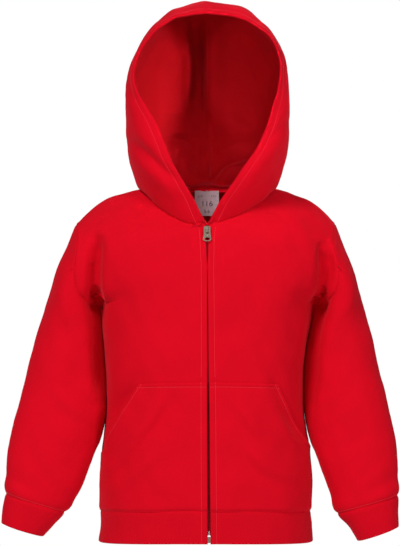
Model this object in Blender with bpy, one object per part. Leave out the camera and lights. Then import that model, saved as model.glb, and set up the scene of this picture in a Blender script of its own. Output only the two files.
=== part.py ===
"""Kids' hooded zip jacket, size 116, filled out and hollow as it is when worn, with the hood up.

Frame: metres, +Z up, front towards -Y, the wearer's left towards +X. The origin lies between the
shoulders, at the height of the neck's high points, where the garment hangs on its wearer.

Every cloth piece starts as a sheet, the outer face of the cloth, read from short tables of sections.
The sheet's points moved inwards by the cloth's thickness give the wall. Neighbouring pieces read the
same seam points and the same seam normals, and each edge is drawn back from its seam.
Tables are in millimetres and degrees. Their x runs outwards from the centre line on either side.
"""

import math
from collections import namedtuple

import bmesh
import bpy
import numpy as np
from mathutils import Matrix, Vector

MM = 0.001

# ---- cloth ------------------------------------------------------------------------------------------
CLOTH = 1.8 * MM              # brushed-back sweat cloth, one layer
LINING = 1.6 * MM             # inner layer of the doubled hood
DOUBLED = 3.2 * MM            # cuffs and waistband, cut double and folded
TAPE = 0.8 * MM               # neck tape
LABEL = 0.6 * MM              # woven label
SEAM_BACK = 0.18 * MM         # how far each piece's edge is drawn back from its seam
LAYER_GAP = 0.3 * MM          # between the layers of the hood
POCKET_GAP = 0.9 * MM         # between a front and its pocket
TAPE_GAP = 0.7 * MM           # between the hood's inner layer and the neck tape

RIGHT, LEFT = -1, 1           # the wearer's sides, as signs of X
FRONT, BACK = -1, 1           # the garment's faces, as signs of Y
SIDE_NAMES = {RIGHT: "right", LEFT: "left"}

RED = (0.74, 0.006, 0.016, 1.0)
RED_INSIDE = (0.52, 0.004, 0.012, 1.0)
WHITE = (0.86, 0.82, 0.83, 1.0)
NICKEL = (0.62, 0.56, 0.47, 1.0)

# ---- torso sections ---------------------------------------------------------------------------------
# A section runs over one quarter of the body, from the centre line or the neckline (in) to the side
# seam or the armhole (out). Depths are measured away from the side seams' plane. turn is the angle
# from straight outwards towards that plane, fall the angle below level, full the roundness of the
# corner. Row -2 is the hem, 0 the waistband seam, 10 the underarm and 21 the shoulder seam.
HEM_ROW, BAND_ROW, UNDERARM_ROW, SHOULDER_ROW = -2, 0, 10, 21
FRONT_NECK_ROW, BACK_NECK_ROW = 13, 15
Section = namedtuple("Section", "row in_x in_depth in_z in_turn in_fall out_x out_depth out_z turn fall full")

FRONT_SECTIONS = {
    RIGHT: [
        Section(-2, 1.9, 93.0, -472.5, 0, 0, 147.8, 0.0, -477.0, 90, 0, 0.60),
        Section(-1, 1.9, 93.5, -450.0, 0, 0, 143.7, 0.0, -455.5, 90, 0, 0.60),
        Section(0, 1.9, 95.0, -429.0, 0, 0, 144.0, 0.0, -435.0, 90, 0, 0.60),
        Section(2, 1.8, 97.5, -378.0, 0, 0, 144.8, 0.0, -385.0, 90, 0, 0.63),
        Section(4, 1.7, 98.0, -328.0, 0, 0, 139.8, 0.0, -335.0, 90, 0, 0.64),
        Section(6, 1.5, 98.0, -277.0, 0, 0, 135.4, 0.0, -285.0, 90, 0, 0.65),
        Section(8, 1.2, 96.3, -206.0, 0, 0, 139.0, 0.0, -212.0, 90, 0, 0.67),
        Section(9, 1.1, 94.9, -178.0, 0, 0, 141.4, 0.0, -184.0, 90, 0, 0.67),
        Section(10, 1.0, 93.2, -150.0, 0, 0, 144.0, 0.0, -158.5, 86, 0, 0.66),
        Section(11, 0.8, 89.6, -121.0, 0, 0, 152.0, 17.5, -155.5, 62, -4, 0.57),
        Section(12, 0.7, 84.0, -91.0, -3, -3, 165.5, 33.0, -148.5, 44, -8, 0.52),
        Section(13, 3.6, 70.0, -50.0, -10, -11, 174.6, 42.5, -137.0, 32, -10, 0.52),
        Section(14, 15.5, 70.5, -49.0, -12, -14, 178.2, 45.6, -121.0, 27, -12, 0.55),
        Section(16, 41.5, 63.5, -41.0, -12, -17, 177.8, 45.0, -93.5, 24, -16, 0.55),
        Section(18, 67.0, 45.5, -23.0, -8, -18, 175.3, 33.0, -69.0, 18, -28, 0.55),
        Section(20, 85.5, 16.5, -1.7, -3, -19, 177.4, 9.5, -51.5, 6, -41, 0.51),
        Section(21, 88.5, 0.0, 4.3, 0, -18, 178.8, -3.0, -47.0, 0, -46, 0.46),
    ],
    LEFT: [
        Section(-2, 1.9, 93.0, -472.5, 0, 0, 144.1, 0.0, -477.0, 90, 0, 0.60),
        Section(-1, 1.9, 93.5, -450.0, 0, 0, 141.7, 0.0, -455.5, 90, 0, 0.60),
        Section(0, 1.9, 95.0, -429.0, 0, 0, 140.0, 0.0, -435.0, 90, 0, 0.60),
        Section(2, 1.8, 97.5, -378.0, 0, 0, 140.0, 0.0, -385.0, 90, 0, 0.63),
        Section(4, 1.7, 98.0, -328.0, 0, 0, 135.6, 0.0, -335.0, 90, 0, 0.64),
        Section(6, 1.5, 98.0, -277.0, 0, 0, 130.2, 0.0, -285.0, 90, 0, 0.65),
        Section(8, 1.2, 96.3, -206.0, 0, 0, 133.8, 0.0, -212.0, 90, 0, 0.67),
        Section(9, 1.1, 94.9, -178.0, 0, 0, 139.4, 0.0, -184.0, 90, 0, 0.67),
        Section(10, 1.0, 93.2, -150.0, 0, 0, 145.0, 0.0, -157.5, 86, 0, 0.66),
        Section(11, 0.8, 89.6, -121.0, 0, 0, 153.0, 17.5, -155.0, 62, -4, 0.57),
        Section(12, 0.7, 84.0, -91.0, -3, -3, 166.0, 33.0, -148.0, 44, -8, 0.52),
        Section(13, 3.6, 70.0, -50.0, -10, -11, 174.2, 41.0, -137.5, 31, -10, 0.52),
        Section(14, 15.5, 70.5, -45.5, -12, -14, 177.2, 44.6, -122.0, 26, -12, 0.55),
        Section(16, 42.0, 63.5, -35.5, -12, -17, 175.8, 44.5, -94.5, 24, -16, 0.55),
        Section(18, 67.5, 44.5, -21.0, -8, -17, 171.2, 32.5, -69.0, 18, -28, 0.55),
        Section(20, 85.5, 16.0, -2.6, -3, -19, 174.2, 9.5, -50.0, 6, -40, 0.51),
        Section(21, 88.5, 0.0, 3.0, 0, -18, 175.8, -3.0, -45.5, 0, -45, 0.54),
    ],
}

BACK_SECTIONS = {
    RIGHT: [
        Section(-2, 0, 88.0, -473.0, 0, 0, 147.8, 0.0, -477.0, 90, 0, 0.60),
        Section(-1, 0, 87.5, -451.0, 0, 0, 143.7, 0.0, -455.5, 90, 0, 0.60),
        Section(0, 0, 88.0, -430.0, 0, 0, 144.0, 0.0, -435.0, 90, 0, 0.60),
        Section(2, 0, 87.0, -379.0, 0, 0, 144.8, 0.0, -385.0, 90, 0, 0.60),
        Section(4, 0, 85.0, -328.0, 0, 0, 139.8, 0.0, -335.0, 90, 0, 0.62),
        Section(6, 0, 86.0, -276.0, 0, 0, 135.4, 0.0, -285.0, 90, 0, 0.62),
        Section(8, 0, 91.0, -206.0, 0, 0, 139.0, 0.0, -212.0, 90, 0, 0.63),
        Section(9, 0, 92.7, -180.0, 0, 0, 141.4, 0.0, -184.0, 90, 0, 0.63),
        Section(10, 0, 93.6, -152.0, 0, 0, 144.0, 0.0, -158.5, 86, 0, 0.62),
        Section(11, 0, 94.0, -127.0, 0, -1, 152.0, 19.0, -155.0, 60, -4, 0.57),
        Section(12, 0, 92.5, -102.0, 1, -3, 165.5, 36.0, -147.5, 42, -8, 0.53),
        Section(13, 0, 87.0, -67.0, 2, -6, 175.2, 48.5, -134.0, 32, -10, 0.53),
        Section(14, 0, 76.0, -32.0, 5, -12, 179.2, 53.0, -118.0, 27, -12, 0.55),
        Section(15, 0, 58.0, 0.0, -14, -20, 180.6, 54.0, -102.0, 25, -14, 0.55),
        Section(16, 18.0, 57.0, 0.5, -16, -22, 180.2, 51.5, -88.0, 23, -17, 0.55),
        Section(18, 50.0, 44.0, 2.0, -12, -19, 178.6, 37.5, -66.0, 17, -28, 0.55),
        Section(20, 79.0, 17.5, 3.8, -4, -17, 178.2, 15.0, -51.0, 6, -41, 0.51),
        Section(21, 88.5, 0.0, 4.3, 0, -18, 178.8, 3.0, -47.0, 0, -46, 0.46),
    ],
    LEFT: [
        Section(-2, 0, 88.0, -473.0, 0, 0, 144.1, 0.0, -477.0, 90, 0, 0.60),
        Section(-1, 0, 87.5, -451.0, 0, 0, 141.7, 0.0, -455.5, 90, 0, 0.60),
        Section(0, 0, 88.0, -430.0, 0, 0, 140.0, 0.0, -435.0, 90, 0, 0.60),
        Section(2, 0, 87.0, -379.0, 0, 0, 140.0, 0.0, -385.0, 90, 0, 0.60),
        Section(4, 0, 85.0, -328.0, 0, 0, 135.6, 0.0, -335.0, 90, 0, 0.62),
        Section(6, 0, 86.0, -276.0, 0, 0, 130.2, 0.0, -285.0, 90, 0, 0.62),
        Section(8, 0, 91.0, -206.0, 0, 0, 133.8, 0.0, -212.0, 90, 0, 0.63),
        Section(9, 0, 92.7, -180.0, 0, 0, 139.4, 0.0, -184.0, 90, 0, 0.63),
        Section(10, 0, 93.6, -152.0, 0, 0, 145.0, 0.0, -157.5, 86, 0, 0.62),
        Section(11, 0, 94.0, -127.0, 0, -1, 153.0, 19.0, -154.5, 60, -4, 0.57),
        Section(12, 0, 92.5, -102.0, 1, -3, 166.0, 36.0, -147.0, 42, -8, 0.53),
        Section(13, 0, 87.0, -67.0, 2, -6, 175.0, 48.0, -134.5, 32, -10, 0.53),
        Section(14, 0, 76.0, -32.0, 5, -12, 178.0, 52.5, -119.0, 27, -12, 0.55),
        Section(15, 0, 58.0, 0.0, -14, -20, 178.6, 54.0, -103.0, 25, -14, 0.55),
        Section(16, 18.0, 57.0, 0.5, -16, -22, 177.6, 51.5, -89.0, 23, -17, 0.55),
        Section(18, 50.0, 44.0, 1.4, -12, -19, 176.8, 37.5, -66.0, 17, -28, 0.55),
        Section(20, 79.0, 17.5, 2.8, -4, -17, 176.2, 15.0, -50.0, 6, -40, 0.51),
        Section(21, 88.5, 0.0, 3.0, 0, -18, 175.8, 3.0, -45.5, 0, -45, 0.54),
    ],
}
ZIP_LEAN = 2.6 * MM           # the zip's lower end stands this far towards the wearer's left

# ---- sleeves ----------------------------------------------------------------------------------------
# Ring 0 is the armhole, 12 the cuff seam and 14 the cuff's end. Each ring is an oval through its
# outermost point (out) and its innermost point (in), front and back mm deep. bow moves its front and
# back down along the sleeve.
CUFF_RING, SLEEVE_END_RING = 12, 14
Ring = namedtuple("Ring", "ring out_x out_z in_x in_z front back mid_y bow")

SLEEVE_RINGS = {
    RIGHT: [
        Ring(2.0, 204.0, -109.0, 142.2, -190.0, 50.5, 54.0, 2.0, 17.0),
        Ring(3.0, 213.8, -138.0, 140.0, -214.0, 50.5, 52.0, 3.0, 13.0),
        Ring(4.0, 223.6, -168.5, 138.3, -239.0, 50.0, 50.0, 3.0, 10.0),
        Ring(5.0, 232.2, -199.0, 136.9, -265.0, 48.5, 47.5, 1.5, 7.0),
        Ring(6.0, 240.0, -228.0, 136.5, -292.0, 46.5, 45.0, -2.0, 4.0),
        Ring(7.0, 247.6, -259.0, 139.7, -318.0, 44.0, 43.0, -6.5, 1.5),
        Ring(8.0, 255.5, -291.0, 144.2, -339.5, 41.0, 41.0, -12.0, 0.0),
        Ring(9.0, 262.8, -323.7, 150.6, -354.5, 38.5, 39.0, -15.5, 0.0),
        Ring(10.0, 268.0, -351.0, 159.3, -377.0, 36.0, 36.5, -18.5, 0.0),
        Ring(11.0, 271.0, -379.5, 172.0, -407.0, 33.0, 34.0, -21.0, 0.0),
        Ring(12.0, 272.2, -410.0, 191.5, -436.0, 29.5, 30.5, -23.5, 0.0),
        Ring(13.0, 275.0, -430.5, 206.3, -452.5, 25.5, 26.0, -25.5, 0.0),
        Ring(14.0, 277.8, -450.3, 221.0, -468.5, 22.0, 22.5, -27.0, 0.0),
    ],
    LEFT: [
        Ring(2.0, 200.4, -109.0, 140.4, -188.0, 50.5, 54.0, 2.0, 17.0),
        Ring(3.0, 207.4, -138.0, 135.0, -213.0, 50.5, 52.0, 3.0, 13.0),
        Ring(4.0, 215.6, -168.5, 132.0, -239.0, 50.0, 50.0, 3.0, 10.0),
        Ring(5.0, 223.6, -199.0, 131.3, -266.0, 48.5, 47.5, 1.5, 7.0),
        Ring(6.0, 230.8, -228.0, 131.9, -294.0, 46.5, 45.0, -2.0, 4.0),
        Ring(7.0, 238.4, -259.0, 135.2, -319.0, 44.0, 43.0, -6.5, 1.5),
        Ring(8.0, 245.3, -291.0, 142.0, -341.5, 41.0, 41.0, -12.0, 0.0),
        Ring(9.0, 251.2, -323.7, 148.3, -358.5, 38.5, 39.0, -15.5, 0.0),
        Ring(10.0, 256.3, -351.0, 157.0, -382.0, 36.0, 36.5, -18.5, 0.0),
        Ring(11.0, 258.6, -382.0, 165.6, -409.5, 33.0, 34.0, -21.0, 0.0),
        Ring(12.0, 258.4, -412.5, 175.2, -437.0, 29.5, 30.5, -23.5, 0.0),
        Ring(13.0, 257.4, -436.0, 190.4, -455.0, 25.5, 26.0, -25.5, 0.0),
        Ring(14.0, 258.6, -455.5, 202.6, -475.0, 22.0, 22.5, -27.0, 0.0),
    ],
}

# ---- hood -------------------------------------------------------------------------------------------
# A hood row runs from the face edge round the widest line to the crown-and-nape seam. Row 0 is the
# neckline, 13 the crown itself, from the brim back along the seam.
CROWN_ROW = 13
FacePoint = namedtuple("FacePoint", "row x y z turn fall")
WidePoint = namedtuple("WidePoint", "row x y z")
SeamPoint = namedtuple("SeamPoint", "row x y z")

FACE_EDGE = {
    RIGHT: [
        FacePoint(1, 15.5, -80.0, -18.0, -14, 0),
        FacePoint(2, 31.0, -89.0, 8.0, -10, 0),
        FacePoint(3, 46.0, -95.0, 34.0, -4, 2),
        FacePoint(4, 57.0, -97.0, 61.0, 4, 3),
        FacePoint(5, 68.5, -95.0, 87.0, 14, 4),
        FacePoint(6, 81.0, -90.5, 106.5, 30, 5),
        FacePoint(7, 92.0, -84.0, 124.5, 55, 7),
        FacePoint(8, 98.6, -79.0, 145.0, 72, 9),
        FacePoint(9, 96.0, -76.5, 166.0, 76, 12),
        FacePoint(10, 87.0, -76.5, 187.5, 76, 15),
        FacePoint(11, 70.5, -78.0, 209.0, 78, 19),
        FacePoint(12, 42.0, -81.0, 227.5, 82, 22),
        FacePoint(13, 0.0, -82.5, 235.5, 90, 24),
    ],
    LEFT: [
        FacePoint(1, 14.0, -80.0, -22.0, -14, 0),
        FacePoint(2, 31.5, -89.0, 3.5, -10, 0),
        FacePoint(3, 49.0, -94.0, 29.0, -4, 2),
        FacePoint(4, 65.5, -97.0, 52.5, 4, 3),
        FacePoint(5, 78.0, -96.5, 78.0, 16, 4),
        FacePoint(6, 86.8, -94.5, 103.0, 34, 5),
        FacePoint(7, 94.5, -89.0, 128.5, 56, 7),
        FacePoint(8, 98.8, -83.0, 150.5, 72, 9),
        FacePoint(9, 98.0, -79.0, 171.5, 74, 12),
        FacePoint(10, 91.0, -77.0, 192.5, 74, 15),
        FacePoint(11, 75.5, -78.0, 211.0, 76, 19),
        FacePoint(12, 45.0, -80.5, 227.5, 82, 22),
        FacePoint(13, 0.0, -82.5, 235.5, 90, 24),
    ],
}
WIDEST_LINE = {
    RIGHT: [
        WidePoint(1, 95.0, -2.0, 4.0),
        WidePoint(2, 102.5, -8.0, 26.0),
        WidePoint(3, 107.0, -14.0, 50.0),
        WidePoint(4, 109.8, -17.0, 73.0),
        WidePoint(5, 110.1, -17.0, 96.0),
        WidePoint(6, 109.8, -17.0, 118.0),
        WidePoint(7, 109.0, -18.0, 139.0),
        WidePoint(8, 105.2, -20.0, 160.0),
        WidePoint(9, 98.2, -22.0, 181.0),
        WidePoint(10, 85.9, -24.0, 202.0),
        WidePoint(11, 70.6, -26.0, 221.8),
        WidePoint(12, 46.0, -28.0, 242.0),
        WidePoint(13, 0.0, -30.0, 253.8),
    ],
    LEFT: [
        WidePoint(1, 94.5, -2.0, 4.0),
        WidePoint(2, 103.0, -8.0, 26.0),
        WidePoint(3, 108.5, -14.0, 50.0),
        WidePoint(4, 111.3, -17.0, 73.0),
        WidePoint(5, 111.3, -17.0, 96.0),
        WidePoint(6, 110.5, -17.0, 118.0),
        WidePoint(7, 109.2, -18.0, 139.0),
        WidePoint(8, 107.6, -20.0, 160.0),
        WidePoint(9, 103.8, -24.0, 181.0),
        WidePoint(10, 91.4, -24.0, 202.0),
        WidePoint(11, 75.4, -26.0, 222.5),
        WidePoint(12, 48.2, -28.0, 245.6),
        WidePoint(13, 0.0, -30.0, 253.8),
    ],
}
# The crown-and-nape seam is shared by both halves, so its x is signed.
HOOD_SEAM = [
    SeamPoint(1, 3.0, 79.0, 15.0),
    SeamPoint(2, 3.5, 98.0, 36.0),
    SeamPoint(3, 2.0, 112.0, 60.0),
    SeamPoint(4, -1.0, 122.0, 86.0),
    SeamPoint(5, -4.0, 127.0, 112.0),
    SeamPoint(6, -5.5, 128.0, 138.0),
    SeamPoint(7, -6.0, 124.5, 163.0),
    SeamPoint(8, -6.5, 116.5, 187.0),
    SeamPoint(9, -7.0, 104.0, 208.0),
    SeamPoint(10, -7.0, 87.0, 226.0),
    SeamPoint(11, -6.5, 65.0, 240.0),
    SeamPoint(12, -6.0, 41.0, 250.2),
    SeamPoint(13, -5.5, 16.0, 255.2),
]
BRIM_X = -2.0                 # where the crown seam meets the brim, signed, mm
HOOD_EVEN_ROW = 6             # from this row up columns are even; below they lean to the neckline's

# ---- folds ------------------------------------------------------------------------------------------
# A fold is a soft trough (depth > 0) or ridge (depth < 0) pressed into a panel's outer points along a
# straight run from (x0, z0) to (x1, z1), with x signed; it fades over its width and at its ends.
# The hood's inner layer billows inwards by the depths in its own table.
Fold = namedtuple("Fold", "face x0 z0 x1 z1 width depth")
TORSO_FOLDS = [
    Fold(FRONT, -148.0, -84.0, -149.0, -150.0, 15.0, 7.5),
    Fold(FRONT, 158.5, -98.0, 148.0, -150.0, 14.5, 7.5),
    Fold(BACK, -152.0, -90.0, -150.0, -134.0, 17.0, 6.0),
    Fold(BACK, 151.0, -90.0, 150.0, -134.0, 17.0, 6.0),
]
LINING_FOLDS = [
    Fold(BACK, -37.0, 196.0, -40.0, 112.0, 25.0, 7.0),
    Fold(BACK, -50.0, 50.0, -34.0, 50.0, 20.0, 5.0),
    Fold(BACK, 42.0, 190.0, 46.0, 116.0, 27.0, 4.5),
    Fold(BACK, 24.0, 28.0, 58.0, 44.0, 20.0, 4.5),
]
FOLD_END_FADE = 16.0 * MM
FOLD_SEAM_SHARE = 0.07        # folds die out over this share of a section before the side seam
LINING_FOLDS_FROM = 0.42      # share of a hood row from the face edge where the lining's folds may start
LINING_CALM = 0.14            # and die out over this share of the rows and columns before a seam

# ---- pockets ----------------------------------------------------------------------------------------
# The mouth's slanted edge from the pocket's top to where the side seam takes over.
MouthPoint = namedtuple("MouthPoint", "z right_x left_x")
POCKET_MOUTH = [
    MouthPoint(-250.0, 84.0, 88.0),
    MouthPoint(-257.5, 88.6, 92.6),
    MouthPoint(-275.7, 100.5, 100.7),
    MouthPoint(-297.5, 112.4, 110.8),
    MouthPoint(-318.0, 122.6, 121.5),
    MouthPoint(-335.0, 131.6, 130.6),
    MouthPoint(-349.5, 137.3, 137.9),
    MouthPoint(-365.0, 150.0, 150.0),
]
POCKET_TOP_Z = -257.5 * MM
POCKET_ROWS = [0, 1, 2, 2.33, 2.67, 3, 3.33, 3.67, 4, 4.5, 5, 5.5, 6]      # and its top edge above row 6

# ---- neck -------------------------------------------------------------------------------------------
TAPE_REACH = (0.06, 0.62)     # the tape's edges, as shares of the hood's lowest band of cloth
LABEL_SIZE = (33.0 * MM, 34.5 * MM)
LABEL_TOP = (0.0 * MM, 55.4 * MM, 0.4 * MM)
LABEL_SAG = 2.0 * MM
LABEL_CURVE = 5.0              # per metre, how it follows the neck round
LABEL_POINTS = 5               # along each side of its grid

# ---- zip --------------------------------------------------------------------------------------------
ZIP_TOP_ROW, ZIP_BOTTOM_ROW = 12.86, -1.55
CHAIN_HALF = 2.6 * MM
CHAIN_THICK = 2.6 * MM
ZIP_TAPE_WIDTH = 13.0 * MM
ZIP_GAP = 0.5 * MM             # between the fronts and the tapes behind them
ZIP_CLEAR = 0.15 * MM          # from the centre line to each half of the chain
SLIDER_TOP_Z = -51.2 * MM
SLIDER_WIDTH, SLIDER_LENGTH, SLIDER_PLATE = 9.0 * MM, 10.6 * MM, 1.2 * MM
SLIDER_BACK_PLATE = 1.0 * MM
SLIDER_STAND = 0.35 * MM       # between the front plate and the cloth
SLIDER_BEHIND = 0.3 * MM       # between the back plate and the chain
SLIDER_ROUND = 1.6 * MM        # the plates' corners
POST_WIDTH, POST_HIGH, POST_LOW = 1.8 * MM, -0.4 * MM, -2.2 * MM
BAIL_WIDTH, BAIL_RISE, BAIL_HIGH, BAIL_LOW = 3.0 * MM, 3.4 * MM, -0.6 * MM, -9.6 * MM
BAIL_HOLE = 1.3 * MM           # half side of the window that the pull's bar turns in
PULL_LENGTH = 20.4 * MM
PULL_NECK, PULL_RING = 4.4 * MM, 5.8 * MM         # half widths
PULL_SHOULDER = 8.2 * MM       # length of the straight sides
PULL_THICK = 1.2 * MM
PULL_BAR = 0.75 * MM           # half height of the bar that turns in the bail
PULL_SLOT_HALF, PULL_SLOT_LOW, PULL_SLOT_ROUND = 2.1 * MM, -7.6 * MM, 0.8 * MM
RING_FLAT = 0.62               # the ring's outline is an oval this much lower than wide
RING_FOOT = 2.0 * MM           # from the ring's middle line to the pull's foot, beyond its half height
RING_START, RING_SWEEP = -38.0, 128.0             # degrees
RING_TIP = 0.9 * MM            # half width of the flat at the foot
EYE_RADIUS, EYE_FLAT, EYE_DROP = 3.8 * MM, 0.58, PULL_LENGTH - 5.4 * MM
PIVOT_DROP = 3.6 * MM          # pivot below the slider's top
PIVOT_STAND = 3.0 * MM         # pivot in front of the cloth
BOX_TOP_Z = -463.0 * MM
BOX_SIZE = (6.0 * MM, 3.0 * MM, 7.6 * MM)
BOX_DROP, BOX_ROUND = 0.4 * MM, 0.6 * MM

# ---- mesh counts ------------------------------------------------------------------------------------
PANEL_SHARES = 1 - (1 - np.linspace(0, 1, 13)) ** 1.2
SLEEVE_SEGMENTS = SHOULDER_ROW - UNDERARM_ROW      # over the sleeve's front, and as many over its back
NECK_FRONT_SEGMENTS = SHOULDER_ROW - FRONT_NECK_ROW
NECK_BACK_SEGMENTS = SHOULDER_ROW - BACK_NECK_ROW
HOOD_SHARES = np.linspace(0, 1, NECK_FRONT_SEGMENTS + NECK_BACK_SEGMENTS + 1)
HOOD_ROWS = np.linspace(0, CROWN_ROW, 17)
VALLEY_SHARE = 1.6             # how soon walls that meet in a valley keep their own normals


# ---- curves and surfaces ----------------------------------------------------------------------------
def through(stations, values, at):
    """Read a smooth curve through table values at the given stations (non-uniform Catmull-Rom)."""
    s = np.asarray(stations, float)
    p = np.asarray(values, float)
    at = np.atleast_1d(np.asarray(at, float))
    step = np.diff(s)
    rise = np.diff(p, axis=0) / step.reshape((-1,) + (1,) * (p.ndim - 1))
    slope = np.empty_like(p)
    slope[0], slope[-1] = rise[0], rise[-1]
    before = (step[1:] / (step[1:] + step[:-1])).reshape((-1,) + (1,) * (p.ndim - 1))
    slope[1:-1] = before * rise[:-1] + (1 - before) * rise[1:]
    i = np.clip(np.searchsorted(s, at, side="right") - 1, 0, len(s) - 2)
    shape = (-1,) + (1,) * (p.ndim - 1)
    h = step[i].reshape(shape)
    t = ((at - s[i]) / step[i]).reshape(shape)
    return ((2 * t**3 - 3 * t**2 + 1) * p[i] + (t**3 - 2 * t**2 + t) * h * slope[i]
            + (3 * t**2 - 2 * t**3) * p[i + 1] + (t**3 - t**2) * h * slope[i + 1])


def unit(v):
    v = np.asarray(v, float)
    return v / np.maximum(np.linalg.norm(v, axis=-1, keepdims=True), 1e-12)


def arc(start, start_way, end, end_way, full=0.5523, samples=48):
    """A quarter-turn-like curve that leaves along start_way and arrives along end_way."""
    start, end = np.asarray(start, float), np.asarray(end, float)
    start_way, end_way = unit(start_way), unit(end_way)
    chord = end - start
    least = 0.3 * np.linalg.norm(chord)
    p1 = start + start_way * max(full * abs(chord @ start_way), least)
    p2 = end - end_way * max(full * abs(chord @ end_way), least)
    t = np.linspace(0, 1, samples)[:, None]
    return (1 - t)**3 * start + 3 * (1 - t)**2 * t * p1 + 3 * (1 - t) * t**2 * p2 + t**3 * end


def line_length(line):
    return np.linalg.norm(np.diff(line, axis=0), axis=1).sum()


def at_shares(line, shares):
    """Points of a line at shares of its length."""
    steps = np.linalg.norm(np.diff(line, axis=0), axis=1)
    run = np.concatenate([[0], np.cumsum(steps)])
    run /= run[-1]
    return np.stack([np.interp(shares, run, line[:, k]) for k in range(3)], axis=1)


def way(side, face, turn, fall):
    """Direction that leads outwards on a side, turned towards the side seams' plane, and down."""
    turn, fall = math.radians(turn), math.radians(fall)
    level = math.cos(fall)
    return np.array([side * math.cos(turn) * level, -face * math.sin(turn) * level, math.sin(fall)])


def zip_x(z):
    """Sideways place of the centre front at a height."""
    top, bottom = FRONT_SECTIONS[LEFT][11].in_z * MM, FRONT_SECTIONS[LEFT][0].in_z * MM
    return ZIP_LEAN * np.clip((z - top) / (bottom - top), 0, 1)


def torso_point(section, side, face, end):
    """A section's inner or outer end in space."""
    if end == "in":
        x, depth, z = section.in_x * MM, section.in_depth * MM, section.in_z * MM
        centre = zip_x(z) if face == FRONT and section.row <= FRONT_NECK_ROW else 0.0
        return np.array([side * x + centre, face * depth, z])
    return np.array([side * section.out_x, face * section.out_depth, section.out_z]) * MM


def torso(side, face, shares, rows):
    """Outer face of one quarter of the body as a grid [row, share]."""
    table = (FRONT_SECTIONS if face == FRONT else BACK_SECTIONS)[side]
    lines = []
    for s in table:
        line = arc(torso_point(s, side, face, "in"), way(side, face, s.in_turn, s.in_fall),
                   torso_point(s, side, face, "out"), way(side, face, s.turn, s.fall), s.full)
        lines.append(at_shares(line, shares))
    grid = through([s.row for s in table], lines, rows)
    return pressed(grid, face, side, np.asarray(shares, float))


def fold_depth(points, face, side, folds):
    """Summed depth of the folds on one side's face, at points."""
    depth = np.zeros(points.shape[:-1])
    for f in folds:
        if f.face != face or f.x0 * side < 0:
            continue
        start = np.array([f.x0, f.z0]) * MM
        run = np.array([f.x1, f.z1]) * MM - start
        length = np.linalg.norm(run)
        to = points[..., [0, 2]] - start
        along = to @ run / length
        across = np.abs(to[..., 0] * run[1] - to[..., 1] * run[0]) / length
        beyond = np.maximum(0, np.maximum(-along, along - length))
        depth += f.depth * MM * np.exp(-(across / (f.width * MM))**2 - (beyond / FOLD_END_FADE)**2)
    return depth


def eased(distance, reach):
    """0 at a border, 1 from a reach onwards, and smooth between."""
    t = np.clip(distance / reach, 0, 1)
    return t * t * (3 - 2 * t)


def pressed(grid, face, side, shares):
    """Press the body's folds into a grid along its normals."""
    depth = fold_depth(grid, face, side, TORSO_FOLDS) * eased(1 - shares, FOLD_SEAM_SHARE)
    return grid - grid_normals(grid, -side * face) * depth[..., None]


def billow(grid, side, rows, shares):
    """How far the hood's inner layer stands off its outer one, beyond the gap between them."""
    rise = np.asarray(rows)[:, None] / CROWN_ROW
    calm = eased(rise, LINING_CALM) * eased(1 - rise, LINING_CALM)
    calm = calm * eased(shares - LINING_FOLDS_FROM, LINING_CALM) * eased(1 - shares, LINING_CALM)
    return fold_depth(grid, BACK, side, LINING_FOLDS) * calm


def grid_normals(grid, sign):
    """Unit normals of a grid [row, share]; sign +1 where share x row points outwards."""
    along_row = np.gradient(grid, axis=1)
    across_rows = np.gradient(grid, axis=0)
    return unit(np.cross(along_row, across_rows)) * sign


def neckline(side, steps_front, steps_back):
    """The neck seam of one side, from the centre front over the high point to the centre back."""
    front_rows = np.linspace(FRONT_NECK_ROW, SHOULDER_ROW, steps_front + 1)
    back_rows = np.linspace(SHOULDER_ROW, BACK_NECK_ROW, steps_back + 1)
    front = torso(side, FRONT, [0.0, 0.5], front_rows)[:, 0]
    back = torso(side, BACK, [0.0, 0.5], back_rows)[:, 0]
    return np.concatenate([front, back[1:]])


def armhole(side, steps):
    """The armhole from the shoulder over the front to the underarm and up the back, without repeat."""
    down = np.linspace(SHOULDER_ROW, UNDERARM_ROW, steps + 1)
    front = torso(side, FRONT, [0.5, 1.0], down)[:, 1]
    back = torso(side, BACK, [0.5, 1.0], down[::-1])[:, 1]
    return np.concatenate([front, back[1:-1]])


def sleeve(side, steps, rings):
    """Outer face of a sleeve and its cuff as a grid [ring, angle], open at the last angle."""
    angle = np.arange(2 * steps) * math.pi / steps
    loops, stations = [armhole(side, steps)], [0]
    for r in SLEEVE_RINGS[side]:
        outer = np.array([side * r.out_x, r.mid_y, r.out_z]) * MM
        inner = np.array([side * r.in_x, r.mid_y, r.in_z]) * MM
        depth = np.where(np.sin(angle) > 0, -r.front, r.back) * MM * np.abs(np.sin(angle))
        loop = (outer + inner) / 2 + np.cos(angle)[:, None] * (outer - inner) / 2
        loop[:, 1] += depth
        down = unit(np.array([outer[2] - inner[2], 0, inner[0] - outer[0]])) * (side, 1, side)
        loop += down * (r.bow * MM * np.sin(angle)**2)[:, None]
        loops.append(loop)
        stations.append(r.ring)
    return through(stations, loops, rings)


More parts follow.
